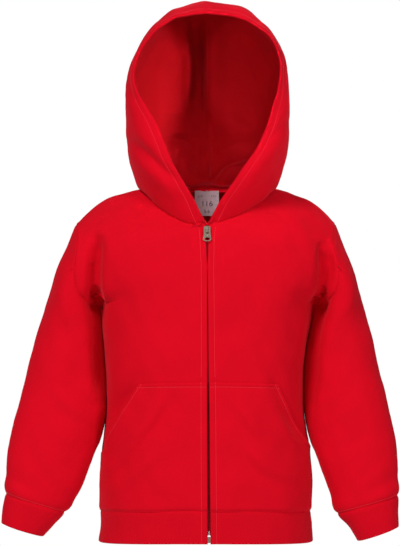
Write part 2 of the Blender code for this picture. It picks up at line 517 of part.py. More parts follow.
def hood(side, shares, rows, steps_front=NECK_FRONT_SEGMENTS, steps_back=NECK_BACK_SEGMENTS):
    """Outer face of one hood half as a grid [row, share] from the face edge to the seam."""
    base = neckline(side, steps_front, steps_back)
    places = np.linspace(0, 1, len(base))
    base = np.stack([np.interp(shares, places, base[:, k]) for k in range(3)], axis=1)
    high_point = steps_front / (steps_front + steps_back)
    lines, stations = [base], [0]
    for face_point, wide, seam in zip(FACE_EDGE[side], WIDEST_LINE[side], HOOD_SEAM):
        crown = face_point.row == CROWN_ROW
        back = np.array([seam.x, seam.y, seam.z]) * MM
        edge = np.array([side * face_point.x, face_point.y, face_point.z]) * MM
        widest = np.array([side * wide.x, wide.y, wide.z]) * MM
        if crown:
            edge[0], widest[0] = BRIM_X * MM, (BRIM_X + seam.x) / 2 * MM
        leave = way(side, FRONT, face_point.turn, face_point.fall)
        rise = np.array([0.0, 1.0, 0.12 if not crown else 0.14])
        arrive = np.array([0.0, 1.0, 0.03]) if crown else np.array([-side, 0.0, 0.0])
        first = arc(edge, leave, widest, rise, 0.55)
        second = arc(widest, rise, back, arrive, 0.58)
        split = line_length(first) / (line_length(first) + line_length(second))
        even = min(face_point.row / HOOD_EVEN_ROW, 1)
        split += (high_point - split) * even
        along = np.interp(shares, [0, high_point, 1], [0, split, 1])
        lines.append(at_shares(np.concatenate([first, second[1:]]), along))
        stations.append(face_point.row)
    return through(stations, lines, rows)


# ---- sheets and walls -------------------------------------------------------------------------------
class Sheet:
    """The outer face of a piece: points, quads wound outwards, and unit normals."""

    def __init__(self, points, quads):
        self.points = np.asarray(points, float)
        self.quads = quads
        self.triangles = self.split_quads()
        self.leanings = self.point_leanings()
        self.normals = unit(self.leanings)

    def point_leanings(self):
        """Face normals around each point, summed by the angle that each face takes up there."""
        total = np.zeros_like(self.points)
        for triangle in self.triangles:
            corners = self.points[list(triangle)]
            normal = unit(np.cross(corners[1] - corners[0], corners[2] - corners[0]))
            for k in range(3):
                to_next = unit(corners[(k + 1) % 3] - corners[k])
                to_last = unit(corners[(k + 2) % 3] - corners[k])
                total[triangle[k]] += normal * math.acos(np.clip(to_next @ to_last, -1, 1))
        return total

    def split_quads(self):
        """Triangles, each quad cut along its shorter diagonal, so that all layers are cut alike."""
        triangles = []
        for a, b, c, d in self.quads:
            straight = np.linalg.norm(self.points[a] - self.points[c])
            if straight <= np.linalg.norm(self.points[b] - self.points[d]):
                triangles += [(a, b, c), (a, c, d)]
            else:
                triangles += [(a, b, d), (b, c, d)]
        return [t for t in triangles if len(set(t)) == 3]

    def border(self):
        """Directed border edges, each with the quad that it belongs to."""
        seen = {}
        for quad in self.quads:
            for a, b in zip(quad, quad[1:] + quad[:1]):
                if a != b:
                    seen[(a, b)] = quad
        return {edge: quad for edge, quad in seen.items() if edge[::-1] not in seen}

    def inward_ways(self):
        """For each border point, the directions square to its border edges that lead into the sheet."""
        inward = {}
        for (a, b), quad in self.border().items():
            along = unit(self.points[b] - self.points[a])
            to_centre = self.points[list(quad)].mean(axis=0) - (self.points[a] + self.points[b]) / 2
            square = unit(to_centre - along * (to_centre @ along))
            inward.setdefault(a, []).append(square)
            inward.setdefault(b, []).append(square)
        return inward


def grid_sheet(grid, outward, closed=False):
    """A sheet from a grid [row, column]; outward +1 where column x row points outwards."""
    rows, columns = grid.shape[:2]
    quads = []
    for r in range(rows - 1):
        for c in range(columns if closed else columns - 1):
            quad = (r * columns + c, r * columns + (c + 1) % columns,
                    (r + 1) * columns + (c + 1) % columns, (r + 1) * columns + c)
            quads.append(quad if outward > 0 else quad[::-1])
    return Sheet(grid.reshape(-1, 3), quads)


def rounded(point):
    """A point as whole hundredths of a millimetre, by which shared points are found."""
    return tuple(np.round(np.asarray(point) * 1e5).astype(int))


def joined(sheets):
    """One sheet from several that share points."""
    places, points, quads = {}, [], []
    for sheet in sheets:
        index = []
        for p in sheet.points:
            key = rounded(p)
            if key not in places:
                places[key] = len(points)
                points.append(p)
            index.append(places[key])
        quads += [tuple(index[i] for i in quad) for quad in sheet.quads]
    return Sheet(points, [quad for quad in quads if len(set(quad)) > 2])


def summed(items):
    """Sum the values of (key, value) pairs by key."""
    total = {}
    for key, value in items:
        total[key] = total.get(key, 0) + value
    return total


def share_seam_normals(groups):
    """Give points that lie on each other in different sheets one common normal.

    Sheets of one group always share it. Where two groups meet in a valley, as under the arm, each
    keeps its own group's normal instead, because walls that fan out inside can't meet.
    """
    leanings, squares = [], []
    for sheets in groups:
        leanings.append(summed((rounded(sheet.points[i]), sheet.leanings[i])
                               for sheet in sheets for i in sheet.inward_ways()))
        squares.append(summed((rounded(sheet.points[i]), sum(ways))
                              for sheet in sheets for i, ways in sheet.inward_ways().items()))
    everyone = summed(item for group in leanings for item in group.items())
    for sheets, own in zip(groups, leanings):
        for sheet in sheets:
            for i in sheet.inward_ways():
                key = rounded(sheet.points[i])
                rise = [unit(square[key]) @ unit(everyone[key] - group[key])
                        for group, square in zip(leanings, squares)
                        if key in group and np.linalg.norm(everyone[key] - group[key]) > 1e-6]
                valley = np.clip(VALLEY_SHARE * np.mean(rise), 0, 1) if rise else 1.0
                sheet.normals[i] = unit(unit(everyone[key]) * (1 - valley) + unit(own[key]) * valley)


def drawn_back(sheet, distance):
    """The sheet's points with the border moved inwards by a distance, square to each border edge."""
    points = sheet.points.copy()
    for i, ways in sheet.inward_ways().items():
        lean = 1 + ways[0] @ ways[-1] if len(ways) > 1 else 1
        points[i] += distance * sum(ways) / max(lean, 0.5)
    return points


def wall(name, sheet, near, far, colour, draw_back=SEAM_BACK):
    """A closed wall between two depths under a sheet (negative depths lie outside it)."""
    points = drawn_back(sheet, draw_back)
    outer = points - sheet.normals * near
    inner = points - sheet.normals * far
    count = len(points)
    faces = list(sheet.triangles)
    faces += [tuple(i + count for i in triangle[::-1]) for triangle in sheet.triangles]
    for a, b in sheet.border():
        if tuple(sheet.points[a]) < tuple(sheet.points[b]):
            faces += [(b, a, b + count), (a, a + count, b + count)]
        else:
            faces += [(b, a, a + count), (b, a + count, b + count)]
    mesh = bpy.data.meshes.new(name)
    mesh.from_pydata(np.concatenate([outer, inner]).tolist(), [], faces)
    mesh.shade_smooth()
    mesh.set_sharp_from_angle(angle=math.radians(50))
    return placed(name, mesh, colour)


def placed(name, mesh, colour, roughness=0.9, metallic=0.0):
    """Put a mesh into the scene under its piece's name, with its own material."""
    material = bpy.data.materials.new(name)
    material.use_nodes = True
    shader = material.node_tree.nodes["Principled BSDF"]
    shader.inputs["Base Color"].default_value = colour
    shader.inputs["Roughness"].default_value = roughness
    shader.inputs["Metallic"].default_value = metallic
    mesh.materials.append(material)
    piece = bpy.data.objects.new(name, mesh)
    bpy.context.scene.collection.objects.link(piece)
    return piece


# ---- body pieces ------------------------------------------------------------------------------------
def torso_sheet(side, face, rows):
    return grid_sheet(torso(side, face, PANEL_SHARES, rows), -side * face)


def shell_sheets():
    """The sheets that meet at seams, by piece name."""
    body_rows = np.arange(BAND_ROW, SHOULDER_ROW + 1)
    band_rows = np.arange(HEM_ROW, BAND_ROW + 1)
    sheets = {}
    band = []
    for side in (RIGHT, LEFT):
        name = SIDE_NAMES[side]
        sheets["front_" + name] = torso_sheet(side, FRONT, body_rows)
        band += [torso_sheet(side, face, band_rows) for face in (FRONT, BACK)]
        tube = sleeve(side, SLEEVE_SEGMENTS, np.arange(0, SLEEVE_END_RING + 1))
        sheets["sleeve_" + name] = grid_sheet(tube[:CUFF_RING + 1], side, closed=True)
        sheets["cuff_" + name] = grid_sheet(tube[CUFF_RING:], side, closed=True)
        half = hood(side, HOOD_SHARES, HOOD_ROWS)
        sheets["hood_" + name] = grid_sheet(half, side)
    sheets["back"] = joined([torso_sheet(side, BACK, body_rows) for side in (RIGHT, LEFT)])
    sheets["waistband"] = joined(band)
    groups = {}
    for name, sheet in sheets.items():
        group = name if name.startswith(("sleeve", "cuff")) else name.split("_")[0]
        group = group.replace("cuff", "sleeve").replace("back", "front").replace("waistband", "front")
        groups.setdefault(group, []).append(sheet)
    share_seam_normals(list(groups.values()))
    return sheets


def make_shell(sheets):
    for name, sheet in sheets.items():
        doubled = name.startswith(("cuff", "waistband"))
        wall(name, sheet, 0.0, DOUBLED if doubled else CLOTH, RED)
        if name.startswith("hood"):
            side = RIGHT if name.endswith("right") else LEFT
            grid = sheet.points.reshape(len(HOOD_ROWS), -1, 3)
            stand = billow(grid, side, HOOD_ROWS, HOOD_SHARES).reshape(-1, 1)
            near = CLOTH + LAYER_GAP + stand
            wall(name.replace("hood", "hood_lining"), sheet, near, near + LINING, RED_INSIDE)


def on_grid(grid, row, share, rows, shares):
    """A point on a panel's own mesh, straight between its grid points."""
    i = min(np.searchsorted(rows, row, side="right") - 1, len(rows) - 2)
    part = (row - rows[i]) / (rows[i + 1] - rows[i])
    line = grid[i] * (1 - part) + grid[i + 1] * part
    return np.array([np.interp(share, shares, line[:, k]) for k in range(3)])


def mouth_share(side, grid, row, rows):
    """How far out the pocket reaches in a row, as a share of the section."""
    shares = np.linspace(0, 1, 201)
    points = np.array([on_grid(grid, row, share, rows, PANEL_SHARES) for share in shares])
    xs = [m.left_x if side == LEFT else m.right_x for m in POCKET_MOUTH][::-1]
    mouth = np.interp(points[:, 2] / MM, [m.z for m in POCKET_MOUTH][::-1], xs)
    beyond = np.abs(points[:, 0]) / MM - mouth
    if beyond.max() < 0:
        return 1.0
    first = np.argmax(beyond >= 0)
    return float(np.interp(0, beyond[first - 1:first + 1], shares[first - 1:first + 1]))


def make_pocket(side, front):
    """A pocket half: the front's own points between the zip, the waistband and the slanted mouth."""
    rows = np.arange(BAND_ROW, SHOULDER_ROW + 1)
    grid = front.points.reshape(len(rows), len(PANEL_SHARES), 3)
    normals = front.normals.reshape(grid.shape)
    centre_line = grid[:, 0, 2]
    top = float(np.interp(POCKET_TOP_Z, centre_line[:UNDERARM_ROW], rows[:UNDERARM_ROW]))
    points, directions = [], []
    for row in [*POCKET_ROWS, top]:
        reach = mouth_share(side, grid, row, rows)
        shares = np.minimum(PANEL_SHARES, reach)
        points.append([on_grid(grid, row, share, rows, PANEL_SHARES) for share in shares])
        directions.append([on_grid(normals, row, share, rows, PANEL_SHARES) for share in shares])
    sheet = joined([grid_sheet(np.array(points), side)])
    lookup = {rounded(p): n for line, ways in zip(points, directions) for p, n in zip(line, ways)}
    sheet.normals = unit([lookup[rounded(p)] for p in sheet.points])
    wall("pocket_" + SIDE_NAMES[side], sheet, -(POCKET_GAP + CLOTH), -POCKET_GAP, RED, draw_back=2 * SEAM_BACK)


# ---- neck -------------------------------------------------------------------------------------------
def make_neck_tape(sheets):
    """Tape inside the back neck: the hood's own points just above the neck seam, moved in."""
    parts = []
    normals = []
    for side in (RIGHT, LEFT):
        sheet = sheets["hood_" + SIDE_NAMES[side]]
        grid = sheet.points.reshape(len(HOOD_ROWS), -1, 3)[:2, NECK_FRONT_SEGMENTS + 2:]
        ways = sheet.normals.reshape(len(HOOD_ROWS), -1, 3)[:2, NECK_FRONT_SEGMENTS + 2:]
        low, high = TAPE_REACH
        parts.append(grid_sheet(np.stack([grid[0] + (grid[1] - grid[0]) * f for f in (low, high)]), side))
        normals.append(np.concatenate([ways[0] + (ways[1] - ways[0]) * f for f in (low, high)]))
    lookup = {rounded(p): n for part, ways in zip(parts, normals) for p, n in zip(part.points, ways)}
    tape = joined(parts)
    tape.normals = unit([lookup[rounded(p)] for p in tape.points])
    near = CLOTH + LAYER_GAP + LINING + TAPE_GAP
    wall("neck_tape", tape, near, near + TAPE, RED_INSIDE)


def make_label():
    """The neck label hangs inside from the tape's lower edge."""
    across = np.linspace(-0.5, 0.5, LABEL_POINTS) * LABEL_SIZE[0]
    x, share = np.meshgrid(across, np.linspace(1, 0, LABEL_POINTS))
    sag = LABEL_SAG * (np.sin(math.pi * share) + share)
    grid = np.stack([x, sag - LABEL_CURVE * x * x, -share * LABEL_SIZE[1]], axis=2)
    wall("neck_label", grid_sheet(grid + LABEL_TOP, 1), 0.0, LABEL, WHITE, draw_back=0.0)


# ---- zip --------------------------------------------------------------------------------------------
def front_frame(row):
    """Centre-front point, outward normal and upward direction of the fronts' outer face at a row."""
    rows = np.arange(HEM_ROW, FRONT_NECK_ROW + 1)
    centre = torso(LEFT, FRONT, [0.0, 0.5], rows)[:, 0]
    centre[:, 0] = zip_x(centre[:, 2])
    up = np.gradient(centre, axis=0)
    place = np.array([np.interp(row, rows, centre[:, k]) for k in range(3)])
    up = unit([np.interp(row, rows, up[:, k]) for k in range(3)] * np.array([0, 1, 1]))
    return place, unit(np.cross((1.0, 0.0, 0.0), up)), up


def row_of_zip(z):
    rows = np.arange(HEM_ROW, FRONT_NECK_ROW + 1)
    heights = torso(LEFT, FRONT, [0.0, 0.5], rows)[:, 0, 2]
    return float(np.interp(z, heights, rows))


def make_zip_tape(side):
    """A zip tape with its half of the chain: a profile carried down behind the front edge."""
    tape_near = (CHAIN_THICK - TAPE) / 2
    profile = [(ZIP_CLEAR, 0.0), (CHAIN_HALF, 0.0), (CHAIN_HALF, tape_near), (ZIP_TAPE_WIDTH, tape_near),
               (ZIP_TAPE_WIDTH, tape_near + TAPE), (CHAIN_HALF, tape_near + TAPE),
               (CHAIN_HALF, CHAIN_THICK), (ZIP_CLEAR, CHAIN_THICK)]
    points, faces = [], []
    rows = [ZIP_BOTTOM_ROW, -1, BAND_ROW, BAND_ROW + 0.15, *range(1, FRONT_NECK_ROW), ZIP_TOP_ROW]
    for row in rows:
        centre, out, _ = front_frame(row)
        cover = DOUBLED if row <= BAND_ROW else CLOTH
        for x, d in profile:
            points.append(centre + np.array([side * x, 0, 0]) - out * (cover + ZIP_GAP + d))
    n = len(profile)
    for r in range(len(rows) - 1):
        for k in range(n):
            a, b = r * n + k, r * n + (k + 1) % n
            faces.append((a, b, b + n, a + n))
    faces.append(tuple(range(n))[::-1])
    faces.append(tuple((len(rows) - 1) * n + k for k in range(n)))
    if side == RIGHT:
        faces = [f[::-1] for f in faces]
    mesh = bpy.data.meshes.new("zip_tape")
    mesh.from_pydata([p.tolist() for p in points], [], faces)
    placed("zip_tape_" + SIDE_NAMES[side], mesh, RED_INSIDE)


def block(bm, low, high, bevel=0.0):
    """Add a box between two corners to a bmesh, with its upright edges rounded."""
    size = Vector(high) - Vector(low)
    middle = (Vector(high) + Vector(low)) / 2
    box = bmesh.ops.create_cube(bm, size=1.0, matrix=Matrix.Translation(middle) @ Matrix.Diagonal((*size, 1)))
    if bevel:
        edges = [e for e in bm.edges if all(v in box["verts"] for v in e.verts)
                 and abs((e.verts[0].co - e.verts[1].co).normalized().y) > 0.9]
        bmesh.ops.bevel(bm, geom=edges, offset=bevel, segments=2, affect="EDGES", profile=0.5)


def solid(name, bm, colour, **finish):
    mesh = bpy.data.meshes.new(name)
    bm.to_mesh(mesh)
    bm.free()
    return placed(name, mesh, colour, **finish)


def combine(target, others, operation):
    """Fuse other solids into the target, or cut them out of it."""
    for other in others:
        modifier = target.modifiers.new("combine", "BOOLEAN")
        modifier.operation, modifier.object, modifier.solver = operation, other, "EXACT"
    bpy.context.view_layer.update()
    evaluated = target.evaluated_get(bpy.context.evaluated_depsgraph_get())
    mesh = bpy.data.meshes.new_from_object(evaluated)
    target.modifiers.clear()
    target.data = mesh
    for other in others:
        bpy.data.objects.remove(other)


def zip_place(z):
    """Matrix with its origin on the cloth at a height, X across, -Y out of the cloth and Z up it."""
    centre, out, up = front_frame(row_of_zip(z))
    across = np.array([1.0, 0.0, 0.0])
    return Matrix([(across[k], -out[k], up[k], centre[k]) for k in range(3)] + [(0, 0, 0, 1)])


def make_slider(place):
    """Slider: front and back plates, the post between them and the bail that holds the pull."""
    half, low = SLIDER_WIDTH / 2, -SLIDER_LENGTH
    face = SLIDER_STAND + SLIDER_PLATE
    inside = SLIDER_STAND + SLIDER_PLATE / 2
    behind = CLOTH + ZIP_GAP + CHAIN_THICK + SLIDER_BEHIND
    front, back, post, bail, window = (bmesh.new() for _ in range(5))
    block(front, (-half, -face, low), (half, -SLIDER_STAND, 0), bevel=SLIDER_ROUND)
    block(back, (-half, behind, low), (half, behind + SLIDER_BACK_PLATE, 0), bevel=SLIDER_ROUND)
    block(post, (-POST_WIDTH / 2, -inside, POST_LOW),
          (POST_WIDTH / 2, behind + SLIDER_BACK_PLATE / 2, POST_HIGH))
    block(bail, (-BAIL_WIDTH / 2, -face - BAIL_RISE, BAIL_LOW), (BAIL_WIDTH / 2, -inside, BAIL_HIGH))
    block(window, (-BAIL_WIDTH, -PIVOT_STAND - BAIL_HOLE, -PIVOT_DROP - BAIL_HOLE),
          (BAIL_WIDTH, -PIVOT_STAND + BAIL_HOLE, -PIVOT_DROP + BAIL_HOLE))
    slider = solid("zip_slider", front, NICKEL, roughness=0.3, metallic=1.0)
    combine(slider, [solid("slider_part", bm, NICKEL) for bm in (back, post, bail)], "UNION")
    combine(slider, [solid("bail_window", window, NICKEL)], "DIFFERENCE")
    slider.data.transform(place)


def pull_outline(steps=8):
    """Half outline of the pull, from its top to its foot, as (half width, drop below the pivot)."""
    ring_drop = PULL_LENGTH - RING_FOOT - PULL_RING * RING_FLAT
    points = [(PULL_NECK, -PULL_BAR), (PULL_NECK, PULL_SHOULDER)]
    for k in range(1, steps):
        angle = math.radians(RING_START + k * RING_SWEEP / steps)
        points.append((PULL_RING * math.cos(angle), ring_drop + PULL_RING * RING_FLAT * math.sin(angle)))
    return points + [(RING_TIP, ring_drop + PULL_RING * RING_FLAT)]


def make_pull(pivot, place):
    """Pull tab: a flat plate with a slot that straddles the bail, and a ring at its foot."""
    outline = pull_outline()
    loop = [(w, -d) for w, d in outline] + [(-w, -d) for w, d in reversed(outline)]
    plate, slot, eye = (bmesh.new() for _ in range(3))
    face = plate.faces.new([plate.verts.new((x, -PULL_THICK / 2, z)) for x, z in loop])
    made = bmesh.ops.extrude_face_region(plate, geom=[face])
    moved = [v for v in made["geom"] if isinstance(v, bmesh.types.BMVert)]
    bmesh.ops.translate(plate, verts=moved, vec=(0, PULL_THICK, 0))
    bmesh.ops.recalc_face_normals(plate, faces=plate.faces)
    pull = solid("zip_pull", plate, NICKEL, roughness=0.3, metallic=1.0)
    block(slot, (-PULL_SLOT_HALF, -2 * PULL_THICK, PULL_SLOT_LOW),
          (PULL_SLOT_HALF, 2 * PULL_THICK, -PULL_BAR), bevel=PULL_SLOT_ROUND)
    bmesh.ops.create_cone(eye, cap_ends=True, segments=16, radius1=EYE_RADIUS, radius2=EYE_RADIUS,
                          depth=4 * PULL_THICK, matrix=Matrix.Translation((0, 0, -EYE_DROP))
                          @ Matrix.Rotation(math.pi / 2, 4, "X") @ Matrix.Diagonal((1, EYE_FLAT, 1, 1)))
    combine(pull, [solid("pull_cutter", bm, NICKEL) for bm in (slot, eye)], "DIFFERENCE")
    pull.data.transform(place.to_3x3().to_4x4())
    pull.location = pivot


def make_zip_box():
    """The box at the lower end of the chain, behind the band's front edges."""
    near = DOUBLED + ZIP_GAP
    width, thick, height = BOX_SIZE
    box = bmesh.new()
    block(box, (-width / 2, near, -BOX_DROP - height), (width / 2, near + thick, -BOX_DROP), bevel=BOX_ROUND)
    piece = solid("zip_box", box, NICKEL, roughness=0.35, metallic=1.0)
    piece.data.transform(zip_place(BOX_TOP_Z))


def make_zip():
    for side in (RIGHT, LEFT):
        make_zip_tape(side)
    place = zip_place(SLIDER_TOP_Z)
    make_slider(place)
    make_pull(place @ Vector((0, -PIVOT_STAND, -PIVOT_DROP)), place)
    make_zip_box()


def build():
    for old in list(bpy.data.objects):
        bpy.data.objects.remove(old)
    sheets = shell_sheets()
    make_shell(sheets)
    for side in (RIGHT, LEFT):
        make_pocket(side, sheets["front_" + SIDE_NAMES[side]])
    make_neck_tape(sheets)
    make_label()
    make_zip()


build()
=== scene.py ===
"""Kids' hooded zip jacket, size 116: the cloth, its folds, stitching, zip teeth and materials.

The sections, rings and hood lines below are the part's own, in millimetres and degrees, so that each
cloth piece lies where its solid lies. x runs outwards from the centre line on either side.
"""
import math
from collections import namedtuple

import bmesh
import bpy
import numpy as np
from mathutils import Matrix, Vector
from mathutils.kdtree import KDTree


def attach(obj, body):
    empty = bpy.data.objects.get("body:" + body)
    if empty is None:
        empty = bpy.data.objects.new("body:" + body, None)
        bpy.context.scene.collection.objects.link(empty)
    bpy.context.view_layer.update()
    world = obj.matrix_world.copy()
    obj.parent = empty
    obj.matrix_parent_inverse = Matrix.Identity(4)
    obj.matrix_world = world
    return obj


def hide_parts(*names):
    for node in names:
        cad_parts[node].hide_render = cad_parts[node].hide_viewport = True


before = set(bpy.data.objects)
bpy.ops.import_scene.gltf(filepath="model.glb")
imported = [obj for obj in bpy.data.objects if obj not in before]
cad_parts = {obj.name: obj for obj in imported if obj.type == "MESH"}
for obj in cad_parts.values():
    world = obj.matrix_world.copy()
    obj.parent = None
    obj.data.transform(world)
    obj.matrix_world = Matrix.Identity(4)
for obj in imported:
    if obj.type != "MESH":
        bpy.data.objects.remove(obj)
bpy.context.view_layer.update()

MM = 0.001

CLOTH = 1.8 * MM              # brushed-back sweat cloth, one layer
LINING = 1.6 * MM             # inner layer of the doubled hood
DOUBLED = 3.2 * MM            # cuffs and waistband, cut double and folded
POCKET_CLOTH = 1.7 * MM
TAPE = 0.8 * MM
LABEL = 0.6 * MM
LAYER_GAP = 0.3 * MM          # between the layers of the hood
TAPE_GAP = 0.7 * MM           # between the hood's inner layer and the neck tape
ZIP_GAP = 0.5 * MM            # between the fronts and the zip behind them
CHAIN_THICK = 2.6 * MM
HOOD_THICK = CLOTH + LAYER_GAP + LINING

RIGHT, LEFT = -1, 1           # the wearer's sides, as signs of X
FRONT, BACK = -1, 1           # the garment's faces, as signs of Y
SIDE_NAMES = {RIGHT: "right", LEFT: "left"}

# ---- torso sections ----
# A section runs over one quarter of the body, from the centre line or the neckline (in) to the side
# seam or the armhole (out). Depths are measured away from the side seams' plane. turn is the angle
# from straight outwards towards that plane, fall the angle below level, full the roundness of the
# corner. Row -2 is the hem, 0 the waistband seam, 10 the underarm and 21 the shoulder seam.
HEM_ROW, BAND_ROW, UNDERARM_ROW, SHOULDER_ROW = -2, 0, 10, 21
FRONT_NECK_ROW, BACK_NECK_ROW = 13, 15
Section = namedtuple("Section", "row in_x in_depth in_z in_turn in_fall out_x out_depth out_z turn fall full")

# Below the underarm: row, out_x on the right and the left, out_z, then in_x, in_depth, in_z and full of
# the front and of the back.
LOWER_SECTIONS = [
    (-2, (147.8, 144.1), -477.0, (1.9, 93.0, -472.5, 0.60), (0, 88.0, -473.0, 0.60)),
    (-1, (143.7, 141.7), -455.5, (1.9, 93.5, -450.0, 0.60), (0, 87.5, -451.0, 0.60)),
    (0, (144.0, 140.0), -435.0, (1.9, 95.0, -429.0, 0.60), (0, 88.0, -430.0, 0.60)),
    (2, (144.8, 140.0), -385.0, (1.8, 97.5, -378.0, 0.63), (0, 87.0, -379.0, 0.60)),
    (4, (139.8, 135.6), -335.0, (1.7, 98.0, -328.0, 0.64), (0, 85.0, -328.0, 0.62)),
    (6, (135.4, 130.2), -285.0, (1.5, 98.0, -277.0, 0.65), (0, 86.0, -276.0, 0.62)),
    (8, (139.0, 133.8), -212.0, (1.2, 96.3, -206.0, 0.67), (0, 91.0, -206.0, 0.63)),
    (9, (141.4, 139.4), -184.0, (1.1, 94.9, -178.0, 0.67), (0, 92.7, -180.0, 0.63)),
]

# From the underarm up, as in Section; a pair is the right's and the left's value.
UPPER_SECTIONS = {
    FRONT: [
        (10, 1.0, 93.2, -150.0, 0, 0, (144.0, 145.0), 0.0, (-158.5, -157.5), 86, 0, 0.66),
        (11, 0.8, 89.6, -121.0, 0, 0, (152.0, 153.0), 17.5, (-155.5, -155.0), 62, -4, 0.57),
        (12, 0.7, 84.0, -91.0, -3, -3, (165.5, 166.0), 33.0, (-148.5, -148.0), 44, -8, 0.52),
        (13, 3.6, 70.0, -50.0, -10, -11, (174.6, 174.2), (42.5, 41.0), (-137.0, -137.5), (32, 31), -10, 0.52),
        (14, 15.5, 70.5, (-49.0, -45.5), -12, -14, (178.2, 177.2), (45.6, 44.6), (-121.0, -122.0), (27, 26),
         -12, 0.55),
        (16, (41.5, 42.0), 63.5, (-41.0, -35.5), -12, -17, (177.8, 175.8), (45.0, 44.5), (-93.5, -94.5), 24,
         -16, 0.55),
        (18, (67.0, 67.5), (45.5, 44.5), (-23.0, -21.0), -8, (-18, -17), (175.3, 171.2), (33.0, 32.5), -69.0,
         18, -28, 0.55),
        (20, 85.5, (16.5, 16.0), (-1.7, -2.6), -3, -19, (177.4, 174.2), 9.5, (-51.5, -50.0), 6, (-41, -40),
         0.51),
        (21, 88.5, 0.0, (4.3, 3.0), 0, -18, (178.8, 175.8), -3.0, (-47.0, -45.5), 0, (-46, -45), (0.46, 0.54)),
    ],
    BACK: [
        (10, 0, 93.6, -152.0, 0, 0, (144.0, 145.0), 0.0, (-158.5, -157.5), 86, 0, 0.62),
        (11, 0, 94.0, -127.0, 0, -1, (152.0, 153.0), 19.0, (-155.0, -154.5), 60, -4, 0.57),
        (12, 0, 92.5, -102.0, 1, -3, (165.5, 166.0), 36.0, (-147.5, -147.0), 42, -8, 0.53),
        (13, 0, 87.0, -67.0, 2, -6, (175.2, 175.0), (48.5, 48.0), (-134.0, -134.5), 32, -10, 0.53),
        (14, 0, 76.0, -32.0, 5, -12, (179.2, 178.0), (53.0, 52.5), (-118.0, -119.0), 27, -12, 0.55),
        (15, 0, 58.0, 0.0, -14, -20, (180.6, 178.6), 54.0, (-102.0, -103.0), 25, -14, 0.55),
        (16, 18.0, 57.0, 0.5, -16, -22, (180.2, 177.6), 51.5, (-88.0, -89.0), 23, -17, 0.55),
        (18, 50.0, 44.0, (2.0, 1.4), -12, -19, (178.6, 176.8), 37.5, -66.0, 17, -28, 0.55),
        (20, 79.0, 17.5, (3.8, 2.8), -4, -17, (178.2, 176.2), 15.0, (-51.0, -50.0), 6, (-41, -40), 0.51),
        (21, 88.5, 0.0, (4.3, 3.0), 0, -18, (178.8, 175.8), 3.0, (-47.0, -45.5), 0, (-46, -45), (0.46, 0.54)),
    ],
}


def sections(side, face):
    """The sections of a quarter, with its own side's value where a pair is given."""
    rows = []
    for row, out_x, out_z, *ends in LOWER_SECTIONS:
        in_x, in_depth, in_z, full = ends[face == BACK]
        rows.append((row, in_x, in_depth, in_z, 0, 0, out_x, 0, out_z, 90, 0, full))
    rows += UPPER_SECTIONS[face]
    return [Section(*(value[side == LEFT] if isinstance(value, tuple) else value for value in row))
            for row in rows]


SECTIONS = {(side, face): sections(side, face) for side in (RIGHT, LEFT) for face in (FRONT, BACK)}
ZIP_LEAN = 2.6 * MM           # the zip's lower end stands this far towards the wearer's left

# ---- sleeves ----
# Ring 0 is the armhole, 12 the cuff seam and 14 the cuff's end. Each ring is an oval through its outermost
# and its innermost point, given as out_x, out_z, in_x, in_z for the right and the left sleeve, and front
# and back mm deep. bow moves its front and back down along the sleeve.
CUFF_RING, SLEEVE_END_RING = 12, 14
Ring = namedtuple("Ring", "ring right left front back mid_y bow")
SLEEVE_RINGS = [
    Ring(2, (204.0, -109.0, 142.2, -190.0), (200.4, -109.0, 140.4, -188.0), 50.5, 54.0, 2.0, 17.0),
    Ring(3, (213.8, -138.0, 140.0, -214.0), (207.4, -138.0, 135.0, -213.0), 50.5, 52.0, 3.0, 13.0),
    Ring(4, (223.6, -168.5, 138.3, -239.0), (215.6, -168.5, 132.0, -239.0), 50.0, 50.0, 3.0, 10.0),
    Ring(5, (232.2, -199.0, 136.9, -265.0), (223.6, -199.0, 131.3, -266.0), 48.5, 47.5, 1.5, 7.0),
    Ring(6, (240.0, -228.0, 136.5, -292.0), (230.8, -228.0, 131.9, -294.0), 46.5, 45.0, -2.0, 4.0),
    Ring(7, (247.6, -259.0, 139.7, -318.0), (238.4, -259.0, 135.2, -319.0), 44.0, 43.0, -6.5, 1.5),
    Ring(8, (255.5, -291.0, 144.2, -339.5), (245.3, -291.0, 142.0, -341.5), 41.0, 41.0, -12.0, 0.0),
    Ring(9, (262.8, -323.7, 150.6, -354.5), (251.2, -323.7, 148.3, -358.5), 38.5, 39.0, -15.5, 0.0),
    Ring(10, (268.0, -351.0, 159.3, -377.0), (256.3, -351.0, 157.0, -382.0), 36.0, 36.5, -18.5, 0.0),
    Ring(11, (271.0, -379.5, 172.0, -407.0), (258.6, -382.0, 165.6, -409.5), 33.0, 34.0, -21.0, 0.0),
    Ring(12, (272.2, -410.0, 191.5, -436.0), (258.4, -412.5, 175.2, -437.0), 29.5, 30.5, -23.5, 0.0),
    Ring(13, (275.0, -430.5, 206.3, -452.5), (257.4, -436.0, 190.4, -455.0), 25.5, 26.0, -25.5, 0.0),
    Ring(14, (277.8, -450.3, 221.0, -468.5), (258.6, -455.5, 202.6, -475.0), 22.0, 22.5, -27.0, 0.0),
]

